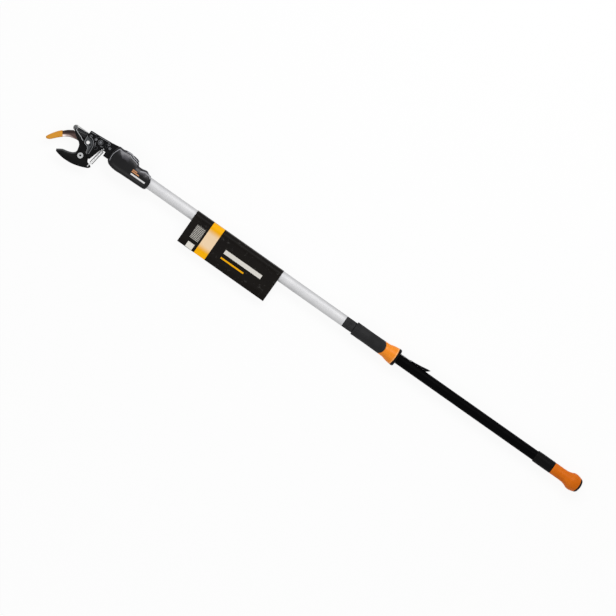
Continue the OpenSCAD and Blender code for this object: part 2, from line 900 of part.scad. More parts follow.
module joint_collar() {
    color("black")
        pole_tube(upper_end, collar_end, collar_d / 2, lower_tube_r + seat_gap);
}

module pole_strap() {
    strap_front = 14;
    color("lightgray")
        on_pole()
            translate([strap_front, strap_level, front_strap[0]])
                cube([carriage_start - strap_front, strap_thick, strap_w]);
}

// Slider: black grip and orange ring, joined along a curved saddle
saddle_depth = 10;
saddle_r = (pow(grip_d / 2, 2) + pow(saddle_depth, 2)) / (2 * saddle_depth);

module saddle_round(r) {
    translate([ring_start - saddle_r, 0, axis_height - grip_d])
        cylinder(r = r, h = 2 * grip_d, $fn = 96);
}

module slider_grip() {
    color("black")
        difference() {
            pole_tube(slider_start, ring_start + 1, grip_d / 2, slider_bore_r);
            difference() {
                translate([ring_start - saddle_r, -grip_d, axis_height - grip_d + 1])
                    cube([saddle_r + 2, 2 * grip_d, 2 * grip_d - 2]);
                saddle_round(saddle_r);
            }
            on_pole()
                translate([carriage_pin_x, 0, -pin_depth])
                    cylinder(r = carriage_pin_r + running_gap, h = pin_depth);
        }
}

flare_r = ring_d / 2;
ring_back = ring_len + saddle_depth;
lip_start = ring_back - lip_len;

module slider_ring() {
    color("orange")
        difference() {
            along_pole(ring_start - saddle_depth)
                rotate_extrude($fn = 96)
                    polygon(concat([[slider_bore_r, lip_start], [slider_bore_r, 0]],
                        curve([[grip_d / 2, 0], [grip_d / 2 + 0.5, 14], [flare_r - 2.7, lip_start - 19.5],
                            [flare_r - 1.1, lip_start - 10.5], [flare_r - 0.1, lip_start - 3],
                            [flare_r - 0.1, lip_start]])));
            saddle_round(saddle_r + seat_gap);
        }
}

// Black lip that closes the ring's wide end
module ring_lip() {
    color("black")
        along_pole(ring_start - saddle_depth)
            rotate_extrude($fn = 96)
                polygon(concat([[slider_bore_r, ring_back], [slider_bore_r, lip_start]],
                    curve([[flare_r - 0.1, lip_start], [flare_r - 0.1, lip_start + 1.2],
                        [flare_r - 0.7, ring_back - 3], [flare_r - 2.6, ring_back - 1],
                        [flare_r - 5.5, ring_back]])));
}

module slider_carriage() {
    color("gray")
        on_pole()
            difference() {
                translate([carriage_start, 0, 0])
                    rotate([0, 90, 0])
                        cylinder(r = carriage_r, h = carriage_len);
                translate([carriage_start - 1, -lower_tube_d - carriage_relief, -lower_tube_d])
                    cube([carriage_len + 2, lower_tube_d, 2 * lower_tube_d]);
                translate([carriage_pin_x, 0, -lower_tube_d])
                    cylinder(r = carriage_pin_r + running_gap, h = lower_tube_d - 3);
            }
}

module carriage_pin() {
    color("lightgray")
        on_pole()
            translate([carriage_pin_x, 0, -pin_depth])
                cylinder(r = carriage_pin_r, h = pin_depth - 3);
}

// Lever behind the ring, on a strip that the slider carries: a wedge that lies on the tube and lifts by its tip
barrel_r = 1;
lever_pin_r = 0.55;
ear_thick = 2;
hinge_at = [ring_end + 30, slider_bore_r + barrel_r + 0.1];
strip_thick = 0.7;

module lever_base() {
    half = lever_w / 2;
    color("black")
        on_pole() {
            slab(-half, half)
                translate([ring_end, slider_bore_r])
                    square([hinge_at[0] - barrel_r - 1 - ring_end, strip_thick]);
            for (side = [-half, half - ear_thick])
                difference() {
                    slab(side, side + ear_thick) {
                        translate(hinge_at)
                            circle(r = barrel_r);
                        translate([hinge_at[0] - 2 * barrel_r, slider_bore_r])
                            square([2 * barrel_r, barrel_r + strip_thick]);
                    }
                    drill(hinge_at, lever_pin_r);
                }
        }
}

module lever_pin() {
    color("lightgray")
        on_pole()
            translate([hinge_at[0], hinge_at[1], -lever_w / 2])
                cylinder(r = lever_pin_r, h = lever_w);
}

module release_lever() {
    half = lever_w / 2;
    neck = half - ear_thick - 0.2;
    leaf_start = barrel_r + 1.5;
    upper = [[0, barrel_r], [8, 1.2], [15.7, 2.1], [lever_len - 26, 3.6], [lever_len - 14, 5.5],
        [lever_len - 8, 6.4], [lever_len, 7.2]];
    under = [[lever_len - 0.4, 5.9], [lever_len - 3, 3.2], [lever_len - 7, 0.1], [lever_len - 9, -barrel_r],
        [8, -barrel_r]];
    color("black")
        on_pole()
            difference() {
                translate(hinge_at) {
                    slab(-neck, neck) {
                        circle(r = barrel_r);
                        polygon(concat(curve(upper), under, [[0, -barrel_r / 2]]));
                    }
                    slab(-half, half)
                        intersection() {
                            polygon(concat(curve(upper), under, [[0, -barrel_r / 2]]));
                            translate([leaf_start, -barrel_r])
                                square([lever_len, 20]);
                        }
                }
                drill(hinge_at, lever_pin_r + running_gap);
            }
}

// Pole end: sleeve, pull knob with its strap and the cap in the knob's end
spigot_len = 22;
spigot_r = lower_bore_r - 0.4;
ball_r = knob_d / 2;
end_cap_r = 11.5;
end_cap_depth = 5;
end_cap_rim = 6;
rim_start = knob_len - end_cap_rim;
knob_strap_level = -carriage_relief - 4;
knob_strap_hold = 6;

module end_sleeve() {
    color("black")
        pole_tube(sleeve_start, lower_end, sleeve_d / 2, lower_tube_r + seat_gap);
}

module end_knob() {
    neck_r = knob_neck_d / 2;
    color("orange")
        difference() {
            along_pole(knob_start)
                rotate_extrude($fn = 96)
                    polygon(concat([[0, rim_start - end_cap_depth], [0, -spigot_len], [spigot_r, -spigot_len],
                        [spigot_r, 0], [neck_r - 0.6, 0]],
                        curve([[neck_r, 1.5], [neck_r, 20], [neck_r + 0.2, knob_len - 50],
                            [neck_r + 1.2, knob_len - 43], [ball_r - 3.6, knob_len - 37],
                            [ball_r - 0.9, knob_len - 31], [ball_r, knob_len - 25.5],
                            [ball_r - 0.5, knob_len - 19.5], [ball_r - 1.9, knob_len - 13.5],
                            [ball_r - 3.4, rim_start - 3], [ball_r - 4.8, rim_start]]),
                        [[end_cap_r + seat_gap, rim_start], [end_cap_r + seat_gap, rim_start - end_cap_depth]]));
            on_pole()
                translate([lower_end - spigot_len - 1, knob_strap_level - seat_gap, -strap_w / 2 - seat_gap])
                    cube([spigot_len + 1 - knob_strap_hold + seat_gap, strap_thick + 2 * seat_gap,
                        strap_w + 2 * seat_gap]);
        }
}

module knob_end_cap() {
    color("black")
        along_pole(knob_start)
            rotate_extrude($fn = 96)
                polygon(concat([[0, rim_start - end_cap_depth], [end_cap_r, rim_start - end_cap_depth],
                    [end_cap_r, rim_start]], curve([[ball_r - 4.8, rim_start], [ball_r - 6.2, knob_len - 4.4],
                    [ball_r - 8.6, knob_len - 2.8], [ball_r - 12, knob_len - 1.5], [4, knob_len - 0.2],
                    [0, knob_len]])));
}

module knob_strap() {
    color("lightgray")
        on_pole()
            translate([lower_end - knob_strap_hold - knob_strap_len, knob_strap_level, -strap_w / 2])
                cube([knob_strap_len, strap_thick, strap_w]);
}

// Card sleeve: a loop round the upper tube whose two panels meet in a flat seam below it
seam_depth = 14;

module card_sleeve() {
    inner_r = upper_tube_r + 0.2;
    outer_r = inner_r + card_thick;
    seam = [-card_drop + seam_depth, card_thick];
    lean = atan2(seam[1], seam[0]) - acos(outer_r / norm(seam));
    side = [cos(lean), sin(lean)];
    far_side = [side[0], -side[1]];
    color("black")
        on_pole()
            translate([casing_end + card_start, 0, 0])
                rotate([90, 0, 90])
                    linear_extrude(height = card_len)
                        difference() {
                            union() {
                                circle(r = outer_r);
                                polygon([outer_r * side, seam, [-card_drop, seam[1]], [-card_drop, -seam[1]],
                                    [seam[0], -seam[1]], outer_r * far_side]);
                            }
                            circle(r = inner_r);
                            polygon([inner_r * side, [inner_r / side[0], 0], inner_r * far_side]);
                        }
}

hook_plate();
hook_tip_cap();
blade();
pivot_bush();
pivot_bolt();
pivot_nut();
arm_roller();
arm_roller_pin();
arm_strap();
strap_anchor_pin();
front_cover();
back_cover();
side_plate();
rear_plate();
side_plate_rivet();
head_screws();
head_core();
strap_drum();
drum_axle();
neck_strap();
return_spring();
spring_post();
casing_front();
casing_back();
label_bar();
label_stripe();
casing_screws();
tube_bolt();
tilt_axle();
joint_pulley();
tilt_button();
button_spring();
upper_tube();
lower_tube();
joint_collar();
pole_strap();
slider_grip();
slider_ring();
ring_lip();
slider_carriage();
carriage_pin();
lever_base();
lever_pin();
release_lever();
end_sleeve();
end_knob();
knob_end_cap();
knob_strap();
card_sleeve();
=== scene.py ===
"""Looks of a strap-driven tree pruner pole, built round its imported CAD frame.

The pole lies along X with its cutting head at low X, the blades lie level and Z points up from the floor.
Each sub-assembly is a class that builds its finer pieces as numpy surfaces and dresses them with finishes.
"""

from __future__ import annotations

import json
import logging
import math
from abc import ABC, abstractmethod
from dataclasses import dataclass
from enum import Enum
from typing import Generic, Sequence, TypeVar

import bmesh
import bpy
import numpy as np
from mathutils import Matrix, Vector
from mathutils.geometry import tessellate_polygon

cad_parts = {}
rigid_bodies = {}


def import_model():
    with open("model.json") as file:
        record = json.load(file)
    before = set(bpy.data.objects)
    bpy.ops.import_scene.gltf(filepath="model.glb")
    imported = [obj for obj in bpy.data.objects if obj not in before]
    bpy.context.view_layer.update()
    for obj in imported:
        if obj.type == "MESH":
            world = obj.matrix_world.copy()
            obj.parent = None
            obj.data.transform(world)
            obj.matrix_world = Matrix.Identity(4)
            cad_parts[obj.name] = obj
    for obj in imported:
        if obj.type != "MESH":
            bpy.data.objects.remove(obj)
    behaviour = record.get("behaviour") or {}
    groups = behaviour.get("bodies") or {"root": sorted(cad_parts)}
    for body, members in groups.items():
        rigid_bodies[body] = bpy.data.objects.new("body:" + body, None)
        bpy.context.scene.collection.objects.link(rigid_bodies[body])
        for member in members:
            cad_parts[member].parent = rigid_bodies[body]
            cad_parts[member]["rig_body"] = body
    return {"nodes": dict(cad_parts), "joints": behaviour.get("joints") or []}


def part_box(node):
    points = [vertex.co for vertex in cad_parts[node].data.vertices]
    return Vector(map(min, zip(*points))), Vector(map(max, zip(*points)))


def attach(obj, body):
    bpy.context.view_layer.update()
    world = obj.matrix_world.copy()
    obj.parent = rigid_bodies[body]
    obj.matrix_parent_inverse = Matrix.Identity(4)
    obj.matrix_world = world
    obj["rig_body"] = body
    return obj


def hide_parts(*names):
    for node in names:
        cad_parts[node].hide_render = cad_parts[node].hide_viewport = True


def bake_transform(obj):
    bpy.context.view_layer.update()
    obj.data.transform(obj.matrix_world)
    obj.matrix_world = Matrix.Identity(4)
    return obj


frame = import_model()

LOG = logging.getLogger("pruner")
MM = 0.001
AXIS_HEIGHT = float(next(j["pos_m"][2] for j in frame["joints"] if j["name"] == "head_tilt"))
PIVOT = np.array(next(j["pos_m"][:2] for j in frame["joints"] if j["name"] == "blade_swing"), float)
PIVOT_SPOT = (2.5, -1.0)
HEAD_CORNER = PIVOT - np.array(PIVOT_SPOT) * MM
STRAP_THICK = 1.2
SHARP_ANGLE = 38.0
FLAT_ANGLE = math.radians(0.6)
MERGE_GAP = 1e-6
TOUCH = 0.5
MITRE_LIMIT = 0.35
EDGE_STEPS = 5
REACH_STEPS = 14
WHITE = (1.0, 1.0, 1.0, 1.0)

Colour = tuple[float, float, float]
Points = np.ndarray
Node = bpy.types.Node
Piece = bpy.types.Object
Socket = bpy.types.NodeSocket
Tree = bpy.types.NodeTree
Sizes = TypeVar("Sizes")


class Lay(Enum):
    """The line that a turned piece is revolved about."""

    POLE = "pole"
    UPRIGHT = "upright"


class Effect(Enum):
    """The shared surface effects, each one node group."""

    GRAIN = "MouldedGrain"
    BRUSH = "BrushedLines"
    WEAVE = "Webbing"
    WEAR = "HandlingWear"


class Brushing(Enum):
    """Ways that brushed lines run, as shares of their noise's scale along X, Y and Z."""

    ALONG = (0.03, 1.0, 1.0)
    EVEN = (1.0, 1.0, 1.0)
    UPRIGHT = (1.0, 1.0, 0.1)


def srgb(code: str) -> Colour:
    """The linear colour of a six-digit code.

    Args:
        code: Red, green and blue as two hexadecimal digits each.

    Returns:
        The three linear channels.
    """
    channels = np.array([int(code[i:i + 2], 16) for i in (0, 2, 4)]) / 255
    linear = np.where(channels <= 0.04045, channels / 12.92, ((channels + 0.055) / 1.055) ** 2.4)
    return tuple(float(c) for c in linear)


def curve(controls: Sequence[Sequence[float]], steps: int = 6) -> Points:
    """Points of a smooth line: a Catmull-Rom cubic between each two controls.

    Args:
        controls: The points that the line runs through.
        steps: Points for each span.

    Returns:
        The points of the line, last control included.
    """
    p = np.asarray(controls, float)
    padded = np.vstack([p[:1], p, p[-1:]])
    a, b, c, d = padded[:-3], padded[1:-2], padded[2:-1], padded[3:]
    t = (np.arange(steps) / steps)[None, :, None]
    a, b, c, d = (q[:, None, :] for q in (a, b, c, d))
    bend, twist = 2 * a - 5 * b + 4 * c - d, 3 * b - a - 3 * c + d
    spans = 0.5 * (2 * b + (c - a) * t + bend * t**2 + twist * t**3)
    return np.vstack([spans.reshape(-1, p.shape[1]), p[-1:]])


def arc(centre: Sequence[float], radius: float, start: float, end: float, steps: int) -> Points:
    """Points of an arc: the centre plus the radius, turned evenly from one angle in degrees to another."""
    angle = np.radians(np.linspace(start, end, steps + 1))
    return np.asarray(centre, float) + radius * np.stack([np.cos(angle), np.sin(angle)], 1)


def rounded(height: float, steps: int = EDGE_STEPS) -> Points:
    """Inset and height of a quarter round: its height times one minus cosine, and times sine."""
    angle = np.linspace(0, math.pi / 2, steps + 1)
    return height * np.stack([1 - np.cos(angle), np.sin(angle)], 1)


def rise(value: Points, start: float, end: float) -> Points:
    """A straight step from 0 at the start to 1 at the end, and level beyond them."""
    return np.clip((value - start) / (end - start), 0, 1)


def grooves(run: Points, places: Sequence[float], depth: float, width: float) -> Points:
    """Depth of round grooves along a run: the sum of a bell curve of that depth and width at each place."""
    return sum(depth * np.exp(-(((run - place) / width) ** 2)) for place in places)


def turn(count: int) -> Points:
    """Even angles of one whole turn, as one row."""
    return np.linspace(0, 2 * math.pi, count, endpoint=False)[None, :]


def round_pole(place: Points, radius: Points, angle: Points) -> Points:
    """Points round the pole: the radius at each place along it, turned about it by a row of angles."""
    across, up = radius * np.cos(angle), radius * np.sin(angle)
    return np.stack([np.broadcast_to(place, across.shape), across, AXIS_HEIGHT + up], -1)


def unit(steps: Points) -> Points:
    """Steps at a length of one."""
    return steps / np.linalg.norm(steps, axis=1, keepdims=True)


def headings(path: Points) -> Points:
    """Unit steps along a path, at each of its points."""
    return unit(np.gradient(path, axis=0))


def leftward(steps: Points) -> Points:
    """Steps in X and Y, turned a quarter turn to the left."""
    return np.stack([-steps[:, 1], steps[:, 0]], 1)


def smooth(mesh: bpy.types.Mesh, sharp: float = SHARP_ANGLE) -> None:
    """Shades a mesh smooth, apart from its edges of a sharp angle in degrees or more."""
    mesh.polygons.foreach_set("use_smooth", np.ones(len(mesh.polygons), bool))
    mesh.set_sharp_from_angle(angle=math.radians(sharp))


def put_in_scene(name: str, data: bpy.types.ID) -> Piece:
    """Puts a mesh, camera or light into the scene.

    Args:
        name: Name of the object.
        data: What the object shows.

    Returns:
        The object, at the origin.
    """
    made = bpy.data.objects.new(name, data)
    bpy.context.scene.collection.objects.link(made)
    return made


@dataclass
class Shell:
    """Points, faces and surface coordinates of one piece before it becomes a mesh."""

    points: Points
    faces: list[list[int]]
    uv: Points
    marks: Points | None = None

    @staticmethod
    def grid(points: Points, close_rows: bool = False, close_columns: bool = False,
             caps: bool = False) -> Shell:
        """A surface over a grid of points, with a quad between each four neighbours.

        Args:
            points: Rows of columns of points.
            close_rows: Whether the last row joins the first.
            close_columns: Whether the last column joins the first.
            caps: Whether the first and last rows are closed with a flat face.

        Returns:
            The surface. Its coordinates are the lengths along both ways of the grid, in metres.
        """
        rows, columns = points.shape[:2]
        row = np.arange(rows if close_rows else rows - 1)
        column = np.arange(columns if close_columns else columns - 1)
        row, column = np.meshgrid(row, column, indexing="ij")
        after_row, after_column = (row + 1) % rows, (column + 1) % columns
        corners = [row * columns + column, after_row * columns + column,
                   after_row * columns + after_column, row * columns + after_column]
        faces = np.stack(corners, -1).reshape(-1, 4).tolist()
        if caps:
            faces.append(list(range(columns)))
            faces.append(list(range((rows - 1) * columns, rows * columns)))
        along = np.cumsum(np.linalg.norm(np.diff(points, axis=0, prepend=points[:1]), axis=2), axis=0)
        across = np.cumsum(np.linalg.norm(np.diff(points, axis=1, prepend=points[:, :1]), axis=2), axis=1)
        return Shell(points.reshape(-1, 3), faces, np.stack([along, across], -1).reshape(-1, 2))

    @staticmethod
    def join(*shells: Shell) -> Shell:
        """One piece out of several shells.

        Args:
            shells: The shells to put together.

        Returns:
            A shell with all their points and faces.
        """
        starts = np.cumsum([0] + [len(s.points) for s in shells[:-1]])
        faces = [[i + int(start) for i in face] for s, start in zip(shells, starts) for face in s.faces]
        marks = np.concatenate([np.zeros(len(s.points)) if s.marks is None else s.marks for s in shells])
        return Shell(np.vstack([s.points for s in shells]), faces, np.vstack([s.uv for s in shells]), marks)

    @staticmethod
    def revolved(profile: Points, lay: Lay, centre: Sequence[float] = (0, 0), segments: int = 96,
                 ring: bool = False) -> Shell:
        """A turned piece: each profile point's radius is carried round the line at its place along it.

        Args:
            profile: Pairs of place along the line and radius.
            lay: Which line the piece is turned about.
            centre: Place of an upright line in X and Y.
            segments: Points round the line.
            ring: Whether the profile closes on itself, as for a piece with a bore.

        Returns:
            The turned shell.
        """
        angle = turn(segments)
        place, radius = profile[:, :1], profile[:, 1:]
        if lay is Lay.POLE:
            points = round_pole(place, radius, angle)
        else:
            first, second = centre[0] + radius * np.cos(angle), centre[1] + radius * np.sin(angle)
            points = np.stack([first, second, np.broadcast_to(place, first.shape)], -1)
        return Shell.grid(points, close_rows=ring, close_columns=True, caps=not ring)

    @staticmethod
    def inward(outline: Points) -> Points:
        """Steps from each outline point that move both its sides inward by one.

        Args:
            outline: The outline's points in X and Y, counter-clockwise.

        Returns:
            The step of each point.
        """
        after = leftward(unit(np.roll(outline, -1, 0) - outline))
        before = np.roll(after, 1, 0)
        return (before + after) / np.maximum(1 + np.sum(before * after, 1, keepdims=True), MITRE_LIMIT)

    @staticmethod
    def towards(outline: Points, spine: Points) -> Points:
        """Unit steps from each outline point to the nearest point of a spine.

        Args:
            outline: The outline's points in X and Y.
            spine: The spine's two ends.

        Returns:
            The step of each point.
        """
        run = spine[1] - spine[0]
        share = np.clip((outline - spine[0]) @ run / (run @ run), 0, 1)
        return unit(spine[0] + share[:, None] * run - outline)

    @staticmethod
    def plate(outline: Points, low: float, high: float, edge: float, foot: float | None = None,
              holes: Sequence[Points] = (), grind: tuple[Points, float, float] | None = None,
              glint: Points | None = None, spine: Points | None = None, reach: Points | None = None,
              lean: float = 1.0) -> Shell:
        """A flat piece: quarter rounds are carried along its outline, below and above its wall.

        Where the piece is ground, the upper round opens into a straight slope of the given width and depth.

        Args:
            outline: The outline's points in X and Y, counter-clockwise.
            low: Level of the lower face.
            high: Level of the upper face.
            edge: Radius of the upper edge.
            foot: Radius of the lower edge, if it is another.
            holes: Outlines of straight holes.
            grind: Share of grinding at each outline point, with the slope's width and depth.
            glint: Strength of the upper edge's marks at each outline point, if they are not full all round.
            spine: Line that the rounds lean towards, for a round wider than the outline's tightest bends.
            reach: Width of the upper round at each outline point, if it is wider than its height.
            lean: Power that moves the marks' crest up the round.

        Returns:
            The closed plate. Points on the upper edge carry marks from 0 to 1.
        """
        inward = Shell.inward(outline) if spine is None else Shell.towards(outline, spine)
        count = len(outline)
        foot = edge if foot is None else foot
        lower = rounded(foot)[::-1]
        upper = rounded(edge, EDGE_STEPS if reach is None else REACH_STEPS)
        widths = np.ones(count) if reach is None else reach / edge
        inset = np.concatenate([np.repeat(lower[:, :1], count, 1), upper[:, :1] * widths])
        heights = np.concatenate([low + foot - lower[:, 1], high - edge + upper[:, 1]])
        height = np.repeat(heights[:, None], count, 1)
        rows = len(lower)
        if grind:
            share, width, depth = grind
            run = np.linspace(0, 1, len(upper))[:, None]
            inset[rows:] += share[None] * (width * run - inset[rows:])
            height[rows:] += share[None] * (high - depth * (1 - run) - height[rows:])
        flat = outline[None] + inward[None] * inset[:, :, None]
        body = Shell.grid(np.concatenate([flat, height[:, :, None]], 2), close_columns=True)
        crest = np.concatenate([np.zeros(rows), np.sin(math.pi * np.linspace(0, 1, len(upper)) ** lean)])
        body.marks = (crest[:, None] * (np.ones(count) if glint is None else glint)[None]).ravel()
        shells = [body]
        for hole in holes:
            wall = np.stack([np.column_stack([hole, np.full(len(hole), z)]) for z in (low, high)])
            shells.append(Shell.grid(wall, close_columns=True))
        whole = Shell.join(*shells)
        ends = np.cumsum([len(shell.points) for shell in shells])
        rims = [np.arange(size) for size in (count, *map(len, holes))]
        lower_rims = [rim + end - len(shell.points) for rim, end, shell in zip(rims, ends, shells)]
        upper_rims = [rim + end - len(rim) for rim, end in zip(rims, ends)]
        for side in (lower_rims, upper_rims):
            loops = [[Vector(point) for point in whole.points[rim]] for rim in side]
            order = np.concatenate(side)
            whole.faces += [[int(order[i]) for i in triangle] for triangle in tessellate_polygon(loops)]
        return whole

    @staticmethod
    def wire(path: Points, radius: float, across: Sequence[float], sides: int = 10) -> Shell:
        """A round wire: a circle carried along a path, its first axis square to the path and to a given line.

        Args:
            path: Points of the wire's middle line.
            radius: Radius of the wire.
            across: A line that the path is never parallel to.
            sides: Points round the wire.

        Returns:
            The wire with closed ends.
        """
        run = headings(path)
        first = unit(np.cross(run, np.asarray(across, float)))
        second = np.cross(run, first)
        angle = turn(sides)[..., None]
        circle = first[:, None] * np.cos(angle) + second[:, None] * np.sin(angle)
        return Shell.grid(path[:, None] + radius * circle, close_columns=True, caps=True)

    @staticmethod
    def ribbon(path: Points, thickness: float, low: float, high: float) -> Shell:
        """A flat strap that stands on its edge: a rounded bar carried along a level path.

        Args:
            path: The strap's middle line in X and Y.
            thickness: Thickness of the strap.
            low: Level of its lower edge.
            high: Level of its upper edge.

        Returns:
            The closed strap.
        """
        side = leftward(headings(path))
        half = thickness / 2
        corner = rounded(half, 3)
        top = np.column_stack([half - corner[:, 0], high - half + corner[:, 1]])
        quarter = np.vstack([top, top[::-1] * [-1, 1]])
        section = np.vstack([quarter, np.column_stack([quarter[::-1, 0], low + high - quarter[::-1, 1]])])
        flat = path[:, None] + side[:, None] * section[None, :, :1]
        heights = np.broadcast_to(section[None, :, 1:], flat.shape[:2] + (1,))
        return Shell.grid(np.concatenate([flat, heights], 2), close_columns=True, caps=True)

    def turned_over(self) -> Shell:
        """The shell mirrored at the level of the pole's axis."""
        return Shell(self.points * [1, 1, -1] + [0, 0, 2 * AXIS_HEIGHT], self.faces, self.uv, self.marks)

    def piece(self, name: str, sharp: float = SHARP_ANGLE) -> Piece:
        """Makes the shell a mesh object with outward faces, smooth shading, a UV map and its marks.

        Args:
            name: Name of the object.
            sharp: Angle in degrees from which an edge stays sharp.

        Returns:
            The object, at the origin.
        """
        mesh = bpy.data.meshes.new(name)
        mesh.from_pydata(self.points.tolist(), [], self.faces)
        work = bmesh.new()
        work.from_mesh(mesh)
        bmesh.ops.recalc_face_normals(work, faces=work.faces)
        work.to_mesh(mesh)
        work.free()
        corners = np.zeros(len(mesh.loops), np.int32)
        mesh.loops.foreach_get("vertex_index", corners)
        layer = mesh.uv_layers.new(name="UVMap")
        layer.data.foreach_set("uv", self.uv[corners].astype(np.float32).ravel())
        marks = np.zeros(len(self.points)) if self.marks is None else self.marks
        mesh.attributes.new("mark", "FLOAT", "POINT").data.foreach_set("value", marks.astype(np.float32))
        smooth(mesh, sharp)
        return put_in_scene(name, mesh)


class Nodes:
    """Adds nodes to one node tree and joins them."""

    def __init__(self, tree: Tree) -> None:
        """Keeps the tree that the nodes go into."""
        self.tree = tree

    def feed(self, socket: Socket, value: object) -> None:
        """Gives a socket its value.

        Args:
            socket: The input socket.
            value: Another node's output, or a plain value.
        """
        if isinstance(value, Socket):
            self.tree.links.new(value, socket)
        else:
            socket.default_value = value

    def add(self, kind: str, settings: dict[str, object] | None = None, **inputs: object) -> Node:
        """Adds a node.

        Args:
            kind: Blender's name of the node type.
            settings: The node's own settings.
            inputs: Values of its inputs, with an underscore for each space.

        Returns:
            The node.
        """
        node = self.tree.nodes.new(kind)
        for key, value in (settings or {}).items():
            setattr(node, key, value)
        self.join(node, **inputs)
        return node

    def join(self, node: Node, **inputs: object) -> None:
        """Gives a node's inputs their values, with an underscore in a name for each space."""
        for key, value in inputs.items():
            self.feed(node.inputs[key.replace("_", " ")], value)

    def math(self, operation: str, first: object, second: object = 0.0) -> Socket:
        """Works out one operation on two values.

        Args:
            operation: Blender's name of the operation.
            first: First value.
            second: Second value.

        Returns:
            The result.
        """
        node = self.add("ShaderNodeMath", {"operation": operation})
        self.feed(node.inputs[0], first)
        self.feed(node.inputs[1], second)
        return node.outputs[0]

    def times(self, first: object, second: object) -> Socket:
        """The product of two values."""
        return self.math("MULTIPLY", first, second)

    def plus(self, first: object, second: object) -> Socket:
        """The sum of two values."""
        return self.math("ADD", first, second)

    def most(self, first: object, second: object) -> Socket:
        """The greater of two values."""
        return self.math("MAXIMUM", first, second)

    def mix(self, share: object, first: object, second: object) -> Socket:
        """Mixes two colours.

        Args:
            share: Share of the second colour.
            first: First colour, as a socket or three channels.
            second: Second colour, as a socket or three channels.

        Returns:
            The mixed colour.
        """
        node = self.add("ShaderNodeMix", {"data_type": "RGBA"})
        self.feed(node.inputs[0], share)
        for socket, colour in ((node.inputs[6], first), (node.inputs[7], second)):
            self.feed(socket, (*colour, 1.0) if isinstance(colour, tuple) else colour)
        return node.outputs[2]

    def ramp(self, value: object, low: float, high: float) -> Socket:
        """A smooth step from 0 at one value to 1 at another.

        Args:
            value: What is stepped.
            low: Value where the step starts.
            high: Value where it ends.

        Returns:
            The step.
        """
        settings = {"interpolation_type": "SMOOTHSTEP"}
        node = self.add("ShaderNodeMapRange", settings, Value=value, From_Min=low, From_Max=high)
        return node.outputs["Result"]

    def noise(self, place: object, scale: object, detail: float, rough: float = 0.5) -> Socket:
        """A noise from 0 to 1 over the surface, at a scale, with detail of some roughness."""
        node = self.add("ShaderNodeTexNoise", Vector=place, Scale=scale, Detail=detail, Roughness=rough)
        return node.outputs["Fac"]

    def band(self, value: object, low: float, high: float, blur: float) -> Socket:
        """1 between two values and 0 outside them.

        Args:
            value: What is compared.
            low: Lower limit.
            high: Upper limit.
            blur: Width of the soft edge at each limit.

        Returns:
            The band.
        """
        climb = self.ramp(value, low - blur, low + blur)
        fall = self.ramp(value, high - blur, high + blur)
        return self.math("SUBTRACT", climb, fall)

    def effect(self, effect: Effect, **inputs: object) -> Node:
        """Adds one of the shared effects, with values for its group's inputs."""
        return self.add("ShaderNodeGroup", {"node_tree": Effects.tree(effect)}, **inputs)


